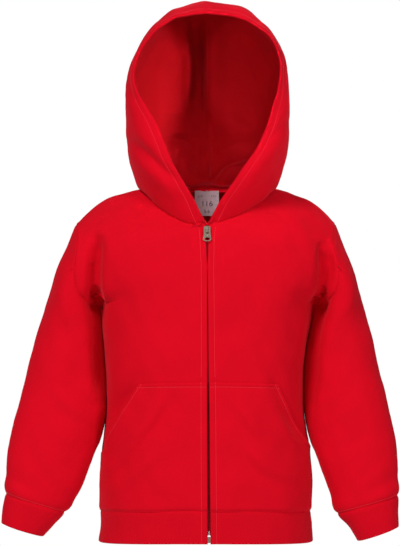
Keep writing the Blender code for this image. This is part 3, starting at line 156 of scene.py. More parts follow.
# ---- hood ----
# A hood row runs from the face edge round the widest line to the crown-and-nape seam. Row 0 is the
# neckline, 13 the crown itself, from the brim back along the seam; the tables hold rows 1 to 13.
CROWN_ROW = 13
FACE_EDGE = {                 # x, y, z, turn and fall
    RIGHT: [
        (15.5, -80.0, -18.0, -14, 0), (31.0, -89.0, 8.0, -10, 0), (46.0, -95.0, 34.0, -4, 2),
        (57.0, -97.0, 61.0, 4, 3), (68.5, -95.0, 87.0, 14, 4), (81.0, -90.5, 106.5, 30, 5),
        (92.0, -84.0, 124.5, 55, 7), (98.6, -79.0, 145.0, 72, 9), (96.0, -76.5, 166.0, 76, 12),
        (87.0, -76.5, 187.5, 76, 15), (70.5, -78.0, 209.0, 78, 19), (42.0, -81.0, 227.5, 82, 22),
        (0.0, -82.5, 235.5, 90, 24),
    ],
    LEFT: [
        (14.0, -80.0, -22.0, -14, 0), (31.5, -89.0, 3.5, -10, 0), (49.0, -94.0, 29.0, -4, 2),
        (65.5, -97.0, 52.5, 4, 3), (78.0, -96.5, 78.0, 16, 4), (86.8, -94.5, 103.0, 34, 5),
        (94.5, -89.0, 128.5, 56, 7), (98.8, -83.0, 150.5, 72, 9), (98.0, -79.0, 171.5, 74, 12),
        (91.0, -77.0, 192.5, 74, 15), (75.5, -78.0, 211.0, 76, 19), (45.0, -80.5, 227.5, 82, 22),
        (0.0, -82.5, 235.5, 90, 24),
    ],
}
WIDEST_LINE = {               # x, y and z
    RIGHT: [
        (95.0, -2.0, 4.0), (102.5, -8.0, 26.0), (107.0, -14.0, 50.0), (109.8, -17.0, 73.0),
        (110.1, -17.0, 96.0), (109.8, -17.0, 118.0), (109.0, -18.0, 139.0), (105.2, -20.0, 160.0),
        (98.2, -22.0, 181.0), (85.9, -24.0, 202.0), (70.6, -26.0, 221.8), (46.0, -28.0, 242.0),
        (0.0, -30.0, 253.8),
    ],
    LEFT: [
        (94.5, -2.0, 4.0), (103.0, -8.0, 26.0), (108.5, -14.0, 50.0), (111.3, -17.0, 73.0),
        (111.3, -17.0, 96.0), (110.5, -17.0, 118.0), (109.2, -18.0, 139.0), (107.6, -20.0, 160.0),
        (103.8, -24.0, 181.0), (91.4, -24.0, 202.0), (75.4, -26.0, 222.5), (48.2, -28.0, 245.6),
        (0.0, -30.0, 253.8),
    ],
}
HOOD_SEAM = [                 # x, y and z of the crown-and-nape seam, which both halves share: x is signed
    (3.0, 79.0, 15.0), (3.5, 98.0, 36.0), (2.0, 112.0, 60.0), (-1.0, 122.0, 86.0),
    (-4.0, 127.0, 112.0), (-5.5, 128.0, 138.0), (-6.0, 124.5, 163.0), (-6.5, 116.5, 187.0),
    (-7.0, 104.0, 208.0), (-7.0, 87.0, 226.0), (-6.5, 65.0, 240.0), (-6.0, 41.0, 250.2),
    (-5.5, 16.0, 255.2),
]
BRIM_X = -2.0                 # where the crown seam meets the brim, signed, mm
HOOD_EVEN_ROW = 6             # from this row up columns are even; below they lean to the neckline's
# Rise per step back of a row at the widest line, of the crown there, and of the crown at the seam.
WIDEST_RISE, CROWN_RISE, SEAM_RISE = 0.12, 0.14, 0.03

# ---- folds ----
# A fold is a soft trough pressed into a panel's outer points along a straight run from (x0, z0) to
# (x1, z1), with x signed; it fades over its width and at its ends. The hood's inner layer billows inwards
# by the depths in its own table.
Fold = namedtuple("Fold", "face x0 z0 x1 z1 width depth")
TORSO_FOLDS = [
    Fold(FRONT, -148.0, -84.0, -149.0, -150.0, 15.0, 7.5),
    Fold(FRONT, 158.5, -98.0, 148.0, -150.0, 14.5, 7.5),
    Fold(BACK, -152.0, -90.0, -150.0, -134.0, 17.0, 6.0),
    Fold(BACK, 151.0, -90.0, 150.0, -134.0, 17.0, 6.0),
]
LINING_FOLDS = [
    Fold(BACK, -37.0, 196.0, -40.0, 112.0, 25.0, 7.0),
    Fold(BACK, -50.0, 50.0, -34.0, 50.0, 20.0, 5.0),
    Fold(BACK, 42.0, 190.0, 46.0, 116.0, 27.0, 4.5),
    Fold(BACK, 24.0, 28.0, 58.0, 44.0, 20.0, 4.5),
]
FOLD_END_FADE = 16.0          # mm
FOLD_SEAM_SHARE = 0.07        # folds die out over this share of a section before the side seam
LINING_FOLDS_FROM = 0.42      # share of a hood row from the face edge where the lining's folds may start
LINING_CALM = 0.14            # and die out over this share of the rows and columns before a seam

# ---- pockets, neck and zip ----
# The mouth's slanted edge from the pocket's top to where the side seam takes over: z, and x on either side.
POCKET_MOUTH = {
    "z": [-250.0, -257.5, -275.7, -297.5, -318.0, -335.0, -349.5, -365.0],
    RIGHT: [84.0, 88.6, 100.5, 112.4, 122.6, 131.6, 137.3, 150.0],
    LEFT: [88.0, 92.6, 100.7, 110.8, 121.5, 130.6, 137.9, 150.0],
}
POCKET_TOP_Z = -257.5 * MM
POCKET_END_Z = -350 * MM      # the mouth is sewn shut below this height
POCKET_STAND = 0.35 * MM      # of the pocket off its front
TAPE_REACH = (0.06, 0.62)     # the tape's edges, as shares of the hood's lowest band of cloth
HOOD_BAND = CROWN_ROW / 16    # that band's height, in hood rows
LABEL_SIZE = (33.0 * MM, 34.5 * MM)
LABEL_TOP = (0.0 * MM, 55.4 * MM, 0.4 * MM)
LABEL_AHEAD = 1.1 * MM        # in front of the tape, whose lower edge it covers
LABEL_SAG = 2.0 * MM
LABEL_CURVE = 5.0             # per metre, how it follows the neck round
ZIP_TOP_ROW, ZIP_BOTTOM_ROW = 12.86, -1.55
# How far in from their edges the rows of topstitching run, in mm.
FRONT_INSET, HOOD_INSET, POCKET_TOP_INSET, MOUTH_INSET = 8.0, 12.0, 6.2, 4.8
WAIST_INSETS = (2.4, 6.8)


# ---- curves and surfaces ----
def hermite(t, start, leave, end, arrive):
    """Between two points, with the steps that the curve leaves and arrives with."""
    return ((2 * t**3 - 3 * t**2 + 1) * start + (t**3 - 2 * t**2 + t) * leave
            + (3 * t**2 - 2 * t**3) * end + (t**3 - t**2) * arrive)


def through(stations, values, at):
    """Read a smooth curve through table values at the given stations (non-uniform Catmull-Rom)."""
    s, p, at = np.asarray(stations, float), np.asarray(values, float), np.atleast_1d(np.asarray(at, float))
    column = (-1,) + (1,) * (p.ndim - 1)
    step = np.diff(s)
    rise = np.diff(p, axis=0) / step.reshape(column)
    slope = np.empty_like(p)
    slope[0], slope[-1] = rise[0], rise[-1]
    before = (step[1:] / (step[1:] + step[:-1])).reshape(column)
    slope[1:-1] = before * rise[:-1] + (1 - before) * rise[1:]
    i = np.clip(np.searchsorted(s, at, side="right") - 1, 0, len(s) - 2)
    h = step[i].reshape(column)
    t = ((at - s[i]) / step[i]).reshape(column)
    return hermite(t, p[i], h * slope[i], p[i + 1], h * slope[i + 1])


def unit(v):
    v = np.asarray(v, float)
    return v / np.maximum(np.linalg.norm(v, axis=-1, keepdims=True), 1e-12)


def eased(distance, reach):
    """0 at a border, 1 from a reach onwards, and smooth between."""
    t = np.clip(distance / reach, 0, 1)
    return t * t * (3 - 2 * t)


def swell(distance, reach):
    """0 at a border and at a reach from it, 1 half way."""
    return np.sin(math.pi * np.clip(distance / reach, 0, 1))


def bell(distance, width, centre=0.0):
    """1 at a distance of centre mm, fading out to both sides over a width in mm."""
    return np.exp(-((distance / MM - centre) / width)**2)


def rounding(distance, thickness):
    """How far both faces of a cloth draw in at a distance from its rounded free edge."""
    half = thickness / 2
    inside = np.clip(half - distance, 0, half)
    return half - np.sqrt(np.maximum(half**2 - inside**2, 0))


def arc(start, start_way, end, end_way, full=0.5523, samples=48):
    """A quarter-turn-like curve that leaves along start_way and arrives along end_way."""
    start, end = np.asarray(start, float), np.asarray(end, float)
    start_way, end_way = unit(start_way), unit(end_way)
    chord = end - start
    least = 0.3 * np.linalg.norm(chord)
    p1 = start + start_way * max(full * abs(chord @ start_way), least)
    p2 = end - end_way * max(full * abs(chord @ end_way), least)
    t = np.linspace(0, 1, samples)[:, None]
    return (1 - t)**3 * start + 3 * (1 - t)**2 * t * p1 + 3 * (1 - t) * t**2 * p2 + t**3 * end


def run_along(points, axis=0):
    """Length from the start along a line of points, or along each line of a grid."""
    steps = np.linalg.norm(np.diff(points, axis=axis), axis=-1)
    return np.concatenate([np.zeros_like(steps.take([0], axis)), np.cumsum(steps, axis)], axis)


def read_line(at, run, line):
    """Points of a line, or normals on it, at places along its run."""
    return np.stack([np.interp(at, run, line[:, k]) for k in range(3)], axis=1)


def way(side, face, turn, fall):
    """Direction that leads outwards on a side, turned towards the side seams' plane, and down."""
    turn, fall = math.radians(turn), math.radians(fall)
    level = math.cos(fall)
    return np.array([side * math.cos(turn) * level, -face * math.sin(turn) * level, math.sin(fall)])


def zip_x(z):
    """Sideways place of the centre front at a height."""
    heights = {s.row: s.in_z * MM for s in SECTIONS[LEFT, FRONT]}
    top, bottom = heights[FRONT_NECK_ROW], heights[HEM_ROW]
    return ZIP_LEAN * np.clip((z - top) / (bottom - top), 0, 1)


def torso(side, face, shares, rows):
    """Outer face of one quarter of the body as a grid [row, share]."""
    lines = []
    for s in SECTIONS[side, face]:
        centre = zip_x(s.in_z * MM) if face == FRONT and s.row <= FRONT_NECK_ROW else 0.0
        inner = np.array([side * s.in_x * MM + centre, face * s.in_depth * MM, s.in_z * MM])
        outer = np.array([side * s.out_x, face * s.out_depth, s.out_z]) * MM
        line = arc(inner, way(side, face, s.in_turn, s.in_fall), outer, way(side, face, s.turn, s.fall), s.full)
        run = run_along(line)
        lines.append(read_line(shares, run / run[-1], line))
    grid = through([s.row for s in SECTIONS[side, face]], lines, rows)
    depth = fold_depth(grid, face, side, TORSO_FOLDS) * eased(1 - np.asarray(shares, float), FOLD_SEAM_SHARE)
    return grid - grid_normals(grid, -side * face) * depth[..., None]


def fold_depth(points, face, side, folds):
    """Summed depth of the folds on one side's face, at points."""
    depth = np.zeros(points.shape[:-1])
    for f in folds:
        if f.face != face or f.x0 * side < 0:
            continue
        start = np.array([f.x0, f.z0]) * MM
        run = np.array([f.x1, f.z1]) * MM - start
        length = np.linalg.norm(run)
        to = points[..., [0, 2]] - start
        along = to @ run / length
        across = np.abs(to[..., 0] * run[1] - to[..., 1] * run[0]) / length
        beyond = np.maximum(0, np.maximum(-along, along - length))
        depth += f.depth * MM * bell(across, f.width) * bell(beyond, FOLD_END_FADE)
    return depth


def billow(grid, side, rows, shares):
    """How far the hood's inner layer stands off its outer one, beyond the gap between them."""
    rise = np.asarray(rows)[:, None] / CROWN_ROW
    calm = eased(rise, LINING_CALM) * eased(1 - rise, LINING_CALM)
    calm = calm * eased(shares - LINING_FOLDS_FROM, LINING_CALM) * eased(1 - shares, LINING_CALM)
    return fold_depth(grid, BACK, side, LINING_FOLDS) * calm


def grid_normals(grid, sign, closed=False):
    """Unit normals of a grid [row, share]; sign +1 where share x row points outwards."""
    if closed:
        wide = np.concatenate([grid[:, -1:], grid, grid[:, :1]], axis=1)
        across = np.gradient(wide, axis=1)[:, 1:-1]
    else:
        across = np.gradient(grid, axis=1)
    return unit(np.cross(across, np.gradient(grid, axis=0))) * sign


def neckline(side):
    """The neck seam of one side, from the centre front over the high point to the centre back."""
    front = torso(side, FRONT, [0.0, 0.5], NECK_FRONT)[:, 0]
    back = torso(side, BACK, [0.0, 0.5], NECK_BACK)[:, 0]
    return np.concatenate([front, back[1:]])


def armhole(side):
    """The armhole from the shoulder over the front to the underarm and up the back, without repeat."""
    down = BODY_ROWS[BODY_ROWS >= UNDERARM_ROW][::-1]
    front = torso(side, FRONT, [0.5, 1.0], down)[:, 1]
    back = torso(side, BACK, [0.5, 1.0], down[::-1])[:, 1]
    angle = (SHOULDER_ROW - down) / (SHOULDER_ROW - UNDERARM_ROW) * math.pi
    return np.concatenate([front, back[1:-1]]), np.concatenate([angle, 2 * math.pi - angle[::-1][1:-1]])


def sleeve(side, rings):
    """Outer face of a sleeve and its cuff as a grid [ring, angle], open at the last angle."""
    loop, angle = armhole(side)
    loops = [loop]
    for r in SLEEVE_RINGS:
        out_x, out_z, in_x, in_z = r.left if side == LEFT else r.right
        outer = np.array([side * out_x, r.mid_y, out_z]) * MM
        inner = np.array([side * in_x, r.mid_y, in_z]) * MM
        loop = (outer + inner) / 2 + np.cos(angle)[:, None] * (outer - inner) / 2
        loop[:, 1] += np.where(np.sin(angle) > 0, -r.front, r.back) * MM * np.abs(np.sin(angle))
        down = unit(np.array([outer[2] - inner[2], 0, inner[0] - outer[0]])) * (side, 1, side)
        loop += down * (r.bow * MM * np.sin(angle)**2)[:, None]
        loops.append(loop)
    return through([0] + [r.ring for r in SLEEVE_RINGS], loops, rings)


def hood(side, rows):
    """Outer face of one hood half as a grid [row, share] from the face edge to the seam."""
    lines = [neckline(side)]
    table = zip(FACE_EDGE[side], WIDEST_LINE[side], HOOD_SEAM)
    for row, ((x, y, z, turn, fall), (wide_x, wide_y, wide_z), seam) in enumerate(table, 1):
        crown = row == CROWN_ROW
        back = np.array(seam) * MM
        edge = np.array([side * x, y, z]) * MM
        widest = np.array([side * wide_x, wide_y, wide_z]) * MM
        if crown:
            edge[0], widest[0] = BRIM_X * MM, (BRIM_X + seam[0]) / 2 * MM
        rise = np.array([0.0, 1.0, CROWN_RISE if crown else WIDEST_RISE])
        arrive = np.array([0.0, 1.0, SEAM_RISE]) if crown else np.array([-side, 0.0, 0.0])
        first = arc(edge, way(side, FRONT, turn, fall), widest, rise, 0.55)
        second = arc(widest, rise, back, arrive, 0.58)
        line = np.concatenate([first, second[1:]])
        run = run_along(line) / run_along(line)[-1]
        split = run[len(first) - 1]
        split += (HIGH_POINT - split) * min(row / HOOD_EVEN_ROW, 1)
        lines.append(read_line(np.interp(HOOD_SHARES, [0, HIGH_POINT, 1], [0, split, 1]), run, line))
    return through(range(len(lines)), lines, rows)


# ---- grid lines ----
LEAST_STEP = 0.004            # between grid lines


def lines_between(first, last, step, near_first=(), near_last=()):
    """Evenly spaced stations with a few more close to either end."""
    count = max(2, int(round((last - first) / step)) + 1)
    more = [first + d for d in near_first] + [last - d for d in near_last]
    every = np.unique(np.round(np.concatenate([np.linspace(first, last, count), more]), 5))
    keep = [every[0]]
    for value in every[1:]:
        if value - keep[-1] > LEAST_STEP or value == every[-1]:
            keep.append(value)
    return np.array(keep)


FINE = 1 / 8
SEAM_LINES = (0.03, 0.07, 0.18)
BODY_ROWS = np.unique(np.round(np.concatenate([
    np.arange(0, 21 + FINE / 2, FINE),
    [0.03, 0.07], [13.03, 13.08, 13.17], [14.9, 15.1], [20.82, 20.94],
]), 4))
BAND_ROWS = np.array([-2, -1.985, -1.96, -1.93, -1.88, -1.8, -1.68, -1.54, -1.4, -1.26, -1.12, -0.98, -0.84,
                      -0.7, -0.56, -0.44, -0.32, -0.24, -0.19, -0.14, -0.1, -0.06, -0.03, 0.0])
PANEL_SHARES = lines_between(0, 1, 1 / 64,
                             (0.0013, 0.0045, 0.009, 0.018, 0.03, 0.036, 0.041, 0.046, 0.052),
                             (0.006, 0.012, 0.022))
RING_ROWS = lines_between(0, CUFF_RING, FINE, SEAM_LINES, SEAM_LINES)
CUFF_ROWS = lines_between(CUFF_RING, SLEEVE_END_RING, FINE, SEAM_LINES, (0.02, 0.05, 0.1, 0.2))
HOOD_ROWS = lines_between(0, CROWN_ROW, FINE, (0.03, 0.08, 0.18), (0.04, 0.1, 0.2))
NECK_FRONT = BODY_ROWS[BODY_ROWS >= FRONT_NECK_ROW]
NECK_BACK = BODY_ROWS[BODY_ROWS >= BACK_NECK_ROW][::-1]
NECK_ROW_COUNT = (SHOULDER_ROW - FRONT_NECK_ROW) + (SHOULDER_ROW - BACK_NECK_ROW)
HIGH_POINT = (SHOULDER_ROW - FRONT_NECK_ROW) / NECK_ROW_COUNT
HOOD_SHARES = np.concatenate([NECK_FRONT - FRONT_NECK_ROW,
                              SHOULDER_ROW - FRONT_NECK_ROW + SHOULDER_ROW - NECK_BACK[1:]]) / NECK_ROW_COUNT


# ---- cloth panels ----
class Panel:
    """A cloth piece as a grid of outer points with normals, lifts along them and distances to its borders."""

    def __init__(self, name, grid, outward, closed=False):
        self.name, self.grid, self.closed, self.outward = name, grid, closed, outward
        self.normals = grid_normals(grid, outward, closed)
        self.u = run_along(np.concatenate([grid, grid[:, :1]], axis=1) if closed else grid, axis=1)
        self.v = run_along(grid)
        self.first_column = self.u[:, :grid.shape[1]]
        self.last_column = self.u[:, -1:] - self.first_column
        self.first_row, self.last_row = self.v, self.v[-1:] - self.v
        self.lift, self.rim = np.zeros(grid.shape[:2]), np.zeros(grid.shape[:2])
        self.parting = None

    def part_from(self, row, column):
        """From this row up the panel is open between this column and the next; below, they are one."""
        self.parting = (row, column)
        sides = (self.grid[:, :column + 1], self.grid[:, column + 1:])
        self.normals = np.concatenate([grid_normals(side, self.outward) for side in sides], axis=1)
        pair = self.normals[:row + 1, column:column + 2]
        pair[:] = unit(pair.sum(axis=1, keepdims=True))

    def border(self):
        """Where the panel's edge runs."""
        edge = np.zeros(self.grid.shape[:2], bool)
        edge[[0, -1]] = True
        if not self.closed:
            edge[:, [0, -1]] = True
        if self.parting:
            row, column = self.parting
            edge[row:, column:column + 2] = True
        return edge

    def press(self, distance, depth, width, centre=0.0):
        """A soft groove, or a ridge where depth < 0, along a line at a distance from a border; in mm."""
        self.lift -= depth * MM * bell(distance, width, centre)

    def free_edge(self, distance, thickness):
        """Round a free edge off, as a folded or hemmed edge is."""
        self.rim = np.maximum(self.rim, rounding(distance, thickness))

    def topstitched(self, distance, inset=FRONT_INSET, depth=0.55):
        """The pressed groove under a row of topstitching, and the soft ridge between it and the edge."""
        self.press(distance, depth, 1.3, inset)
        self.press(distance, -0.4, 2.6, inset / 2)

    def layers(self, thickness):
        """Points of the cloth's outer and inner face."""
        return (self.grid + self.normals * (self.lift - self.rim)[..., None],
                self.grid + self.normals * (self.lift - thickness + self.rim)[..., None])

    def at(self, outer, row, column):
        """Points of the outer layer at fractional grid places, with normals."""
        rows, columns = outer.shape[:2]
        r0 = np.clip(np.floor(row).astype(int), 0, rows - 2)
        fr = np.clip(row - r0, 0, 1)[:, None]
        c0 = np.floor(column).astype(int)
        c0 = c0 % columns if self.closed else np.clip(c0, 0, columns - 2)
        c1 = (c0 + 1) % columns
        fc = (column - np.floor(column) if self.closed else np.clip(column - c0, 0, 1))[:, None]

        def blend(field):
            return ((field[r0, c0] * (1 - fc) + field[r0, c1] * fc) * (1 - fr)
                    + (field[r0 + 1, c0] * (1 - fc) + field[r0 + 1, c1] * fc) * fr)

        return blend(outer), unit(blend(self.normals))


TOUCHING = 0.05 * MM          # border points closer than this are one
VALLEY = 0.75                 # mean length of unlike normals from which panels meet smoothly


def shared_points(panels):
    """Groups of border points, as (panel, row, column), that lie on each other."""
    places = [(panel, r, c) for panel in panels for r, c in zip(*np.nonzero(panel.border()))]
    tree = KDTree(len(places))
    for i, (panel, r, c) in enumerate(places):
        tree.insert(panel.grid[r, c], i)
    tree.balance()
    groups, taken = [], set()
    for i, (panel, r, c) in enumerate(places):
        if i not in taken:
            found = [j for _, j, _ in tree.find_range(panel.grid[r, c], TOUCHING)]
            taken.update(found)
            if len(found) > 1:
                groups.append([places[j] for j in found])
    return groups


def share_normals(groups):
    """One normal for points that lie on each other, except where their panels meet in a valley."""
    for group in groups:
        middle = sum(panel.normals[r, c] for panel, r, c in group)
        if np.linalg.norm(middle) > VALLEY * len(group):
            for panel, r, c in group:
                panel.normals[r, c] = unit(middle)


def close_seams(groups, outers):
    """Bring the outer points of a seam together, wherever the folds took them."""
    for group in groups:
        middle = sum(outers[panel.name][r, c] for panel, r, c in group) / len(group)
        for panel, r, c in group:
            outers[panel.name][r, c] = middle


def cloth_piece(node, outer, inner, panel, material):
    """A closed cloth wall between two point grids, with UVs in millimetres along the cloth."""
    rows, columns = outer.shape[:2]
    count = rows * columns
    r, c = np.meshgrid(np.arange(rows - 1), np.arange(columns if panel.closed else columns - 1), indexing="ij")
    if panel.parting:
        whole = c[0] != panel.parting[1]
        r, c = r[:, whole], c[:, whole]
    r, c = r.ravel(), c.ravel()
    corner_row = np.stack([r, r, r + 1, r + 1], axis=1)
    corner_column = np.stack([c, c + 1, c + 1, c], axis=1)
    if panel.outward < 0:
        corner_row, corner_column = corner_row[:, ::-1], corner_column[:, ::-1]
    quads = corner_row * columns + corner_column % columns
    if panel.parting:
        row, column = panel.parting
        one = np.arange(row + 1) * columns + column
        quads[np.isin(quads, one + 1)] -= 1
    v_wide = np.concatenate([panel.v, panel.v[:, :1]], axis=1)
    uv = np.stack([panel.u[corner_row, corner_column], v_wide[corner_row, corner_column]], axis=2) / MM
    start, end = quads.ravel(), np.roll(quads, -1, axis=1).ravel()
    lone = ~np.isin(start * count + end, end * count + start)
    start, end = start[lone], end[lone]
    rims = np.stack([end, start, start + count, end + count], axis=1)
    faces = np.concatenate([quads, quads[:, ::-1] + count, rims])
    points = np.concatenate([outer.reshape(-1, 3), inner.reshape(-1, 3)])
    uvs = np.concatenate([uv, uv[:, ::-1], np.zeros((len(rims), 4, 2))])

    mesh = bpy.data.meshes.new(node + "_cloth")
    mesh.from_pydata(points.tolist(), [], faces.tolist())
    mesh.validate()
    mesh.uv_layers.new(name="UVMap").data.foreach_set("uv", uvs.ravel().astype(np.float32))
    piece = placed(node + "_cloth", mesh, material, sharp=60)
    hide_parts(node)


def placed(name, mesh, material, smooth=True, sharp=None):
    """A piece of the garment from a mesh, with its look, hung from the garment's empty."""
    if smooth:
        mesh.shade_smooth()
    if sharp:
        mesh.set_sharp_from_angle(angle=math.radians(sharp))
    mesh.materials.clear()
    mesh.materials.append(material)
    piece = bpy.data.objects.new(name, mesh)
    bpy.context.scene.collection.objects.link(piece)
    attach(piece, "garment")
    return piece


# ---- folds and noise ----
def ripple_terms(seed, low, high, count):
    """Directions and phases of a smooth noise with waves between two lengths (mm)."""
    rng = np.random.default_rng(seed)
    ways = unit(rng.normal(size=(count, 3)))
    waves = 2 * math.pi / (np.exp(rng.uniform(math.log(low), math.log(high), count)) * MM)
    return ways * waves[:, None], rng.uniform(0, 2 * math.pi, count)


def ripple(points, terms):
    """Smooth noise of about unit size at each point."""
    ways, phases = terms
    return np.sin(points @ ways.T + phases).sum(axis=-1) * math.sqrt(2 / len(phases))


BROAD = ripple_terms(11, 55, 120, 14)
MIDDLE = ripple_terms(12, 22, 45, 16)
SMALL = ripple_terms(13, 8, 15, 18)

# A crease has a width and a height, which stands out where it is positive, and runs through (x, z) points
# on the front or the back.
CREASES = {
    FRONT: [
        # the sleeves' roots, where the cloth sinks towards the underarm
        (8.0, -15.0, [(-149, -70), (-151, -98), (-152, -126), (-149, -156)]),
        (8.0, -15.0, [(157, -76), (160, -102), (159, -126), (151, -156)]),
        (8, 3.0, [(-132, -78), (-137, -100), (-138, -124), (-132, -160)]),
        (8, 2.6, [(142, -90), (143, -112), (138, -140), (131, -176)]),
        # pulls across the chest from the neck and the armholes
        (11, 0.5, [(-70, -52), (-104, -58), (-140, -76)]),
        (10, -0.4, [(-60, -66), (-98, -74), (-128, -90)]),
        (11, 0.5, [(70, -54), (104, -62), (142, -84)]),
        (10, -0.4, [(64, -70), (96, -80), (126, -98)]),
        # the cloth sinks beside the pockets' mouths
        (10, -6.0, [(-100, -254), (-111, -276), (-121, -294), (-130, -314)]),
        (8, -4.6, [(90, -260), (100, -284), (110, -304), (126, -332)]),
        # soft runs over the pockets
        (8, -3.2, [(-46, -282), (-66, -316), (-88, -342)]),
        (8, 2.7, [(-60, -284), (-84, -318), (-104, -344)]),
        (8, -3.8, [(-80, -342), (-104, -366), (-134, -392)]),
        (8, 3.0, [(-66, -352), (-94, -378), (-122, -404)]),
        (8, -3.0, [(26, -284), (38, -308), (56, -334)]),
        (8, 2.4, [(42, -284), (56, -308), (72, -332)]),
        (8, -3.2, [(100, -296), (114, -312), (128, -330)]),
        (8, 2.2, [(84, -296), (98, -318), (112, -340)]),
        (8, -2.7, [(46, -356), (62, -374), (90, -396)]),
        (8, 2.4, [(58, -350), (80, -370), (112, -388)]),
        # right sleeve
        (8, -6.0, [(-150, -150), (-149, -184), (-147, -216), (-145, -250), (-143, -286)]),
        (9, 2.2, [(-170, -118), (-166, -170), (-162, -226), (-158, -280)]),
        (9, -1.5, [(-190, -190), (-180, -226), (-166, -260), (-156, -300)]),
        (8, -1.6, [(-196, -262), (-176, -276), (-156, -292)]),
        (8, 1.4, [(-202, -276), (-180, -292), (-160, -306)]),
        (8, -1.5, [(-204, -296), (-184, -310), (-166, -322)]),
        (9, 1.2, [(-214, -318), (-192, -334), (-174, -344)]),
        (9, -1.3, [(-268, -384), (-246, -402), (-224, -414), (-204, -420)]),
        (8, 1.4, [(-266, -398), (-244, -412), (-222, -422)]),
        (9, -1.2, [(-240, -360), (-220, -382), (-200, -404)]),
        # left sleeve
        (8, -6.0, [(156, -146), (148, -180), (143, -212), (140, -250), (138, -286)]),
        (9, 2.2, [(178, -122), (170, -172), (160, -228), (154, -282)]),
        (9, -1.4, [(188, -196), (178, -232), (166, -268), (158, -306)]),
        (8, -1.3, [(194, -270), (176, -286), (158, -300)]),
        (8, 1.2, [(202, -290), (182, -304), (162, -316)]),
        (9, -1.2, [(214, -330), (192, -344), (170, -352)]),
        (9, -1.2, [(252, -388), (232, -402), (208, -416), (190, -420)]),
        (8, 1.3, [(252, -402), (230, -414), (206, -424)]),
        (9, -1.1, [(232, -362), (210, -384), (188, -402)]),
        # hood
        (8, -6.0, [(-103, 62), (-80, 42), (-60, 22), (-42, 8)]),
        (9, 2.6, [(-98, 40), (-74, 20), (-52, -2)]),
        (6, -4.4, [(106, 92), (97, 76), (86, 62)]),
        (8, 2.6, [(102, 70), (84, 44), (62, 20)]),
        (6, -2.2, [(96, 112), (88, 84), (76, 56)]),
        (9, -1.8, [(98, 30), (78, 8), (54, -10)]),
        (8, -1.6, [(106, 176), (100, 190), (88, 204)]),
    ],
    BACK: [
        # underarms and shoulders
        (8, -5.0, [(-152, -92), (-153, -118), (-147, -148)]),
        (8, -5.0, [(153, -94), (152, -120), (147, -148)]),
        (12, 1.4, [(-60, -60), (-104, -74), (-142, -98)]),
        (12, 1.3, [(58, -64), (100, -78), (144, -102)]),
        (12, -1.2, [(-20, -62), (-64, -84), (-120, -116)]),
        (12, -1.1, [(16, -66), (66, -90), (122, -120)]),
        # the waist, gathered into the band
        (13, 1.6, [(-52, -330), (-70, -370), (-82, -410)]),
        (13, -1.5, [(-30, -320), (-40, -366), (-46, -412)]),
        (13, 1.5, [(44, -336), (58, -374), (66, -412)]),
        (12, -1.4, [(84, -330), (96, -372), (104, -410)]),
        (12, -1.3, [(-104, -340), (-114, -378), (-118, -412)]),
        (16, -1.5, [(-118, -210), (-60, -236), (10, -244)]),
        (15, 1.4, [(118, -216), (58, -246), (-8, -262)]),
        # sleeves
        (10, -2.0, [(-214, -220), (-184, -246), (-152, -280)]),
        (10, 1.9, [(-222, -246), (-194, -272), (-162, -300)]),
        (9, -1.8, [(-232, -282), (-204, -300), (-174, -318)]),
        (9, 1.6, [(-244, -322), (-218, -338), (-186, -346)]),
        (9, -1.6, [(-262, -384), (-236, -398), (-208, -412)]),
        (10, -2.0, [(210, -224), (182, -250), (150, -284)]),
        (10, 1.8, [(218, -252), (190, -276), (160, -304)]),
        (9, -1.7, [(226, -288), (200, -306), (170, -322)]),
        (9, 1.6, [(236, -328), (210, -342), (180, -350)]),
        (9, -1.6, [(248, -388), (224, -402), (196, -414)]),
        # hood
        (14, 2.2, [(-84, 60), (-50, 40), (-12, 32)]),
        (13, -2.4, [(-92, 40), (-56, 20), (-14, 12)]),
        (14, 2.0, [(86, 64), (50, 42), (10, 34)]),
        (13, -2.2, [(94, 44), (58, 24), (16, 14)]),
        (16, -1.6, [(-96, 120), (-60, 100), (-20, 96)]),
        (16, 1.4, [(98, 140), (60, 118), (18, 108)]),
    ],
}
LINING_CREASES = {
    BACK: [
        # beside the crown seam: the right-hand wall turns in sharply, the left-hand one more softly
        (20, 5.0, [(-52, 205), (-48, 165), (-46, 125), (-40, 92)]),
        (11, 14.0, [(-34, 236), (-33, 184), (-30, 122)]),
        (5, 9.0, [(2, 236), (1, 184), (1, 116)]),
        (15, 13.0, [(13, 236), (13, 184), (12, 112)]),
        (4, 7.0, [(8, 108), (9, 72), (8, 36)]),
        # a bulge at the lower left and its edge
        (13, 9.0, [(-58, 50), (-44, 52), (-32, 46)]),
        (11, 11.0, [(-46, 36), (-36, 32), (-28, 16)]),
        (4, -6.0, [(-58, 72), (-38, 74), (-22, 68), (-14, 54), (-15, 30)]),
        # a curved fold at the lower right with a bulge under it
        (8, 7.0, [(4, 26), (18, 46), (42, 58), (66, 62)]),
        (4, -8.0, [(8, 10), (19, 30), (42, 41), (66, 46)]),
        (9, 14.0, [(20, 6), (34, 18), (58, 26)]),
        (10, 3.5, [(22, 60), (52, 72), (82, 66)]),
        (9, -4.0, [(30, 96), (58, 84), (84, 78)]),
    ],
}
CREASE_POINTS = 10            # on the smooth line through a crease's own points
CREASE_REACH = 3              # widths from a crease beyond which it isn't felt
TAPER_FROM, TAPER_RUN, TAPER_POWER = 0.12, 0.76, 0.8      # how a crease dies out towards its ends
SIDE_TURN = 1.6               # how fast a crease fades where the cloth turns past the side


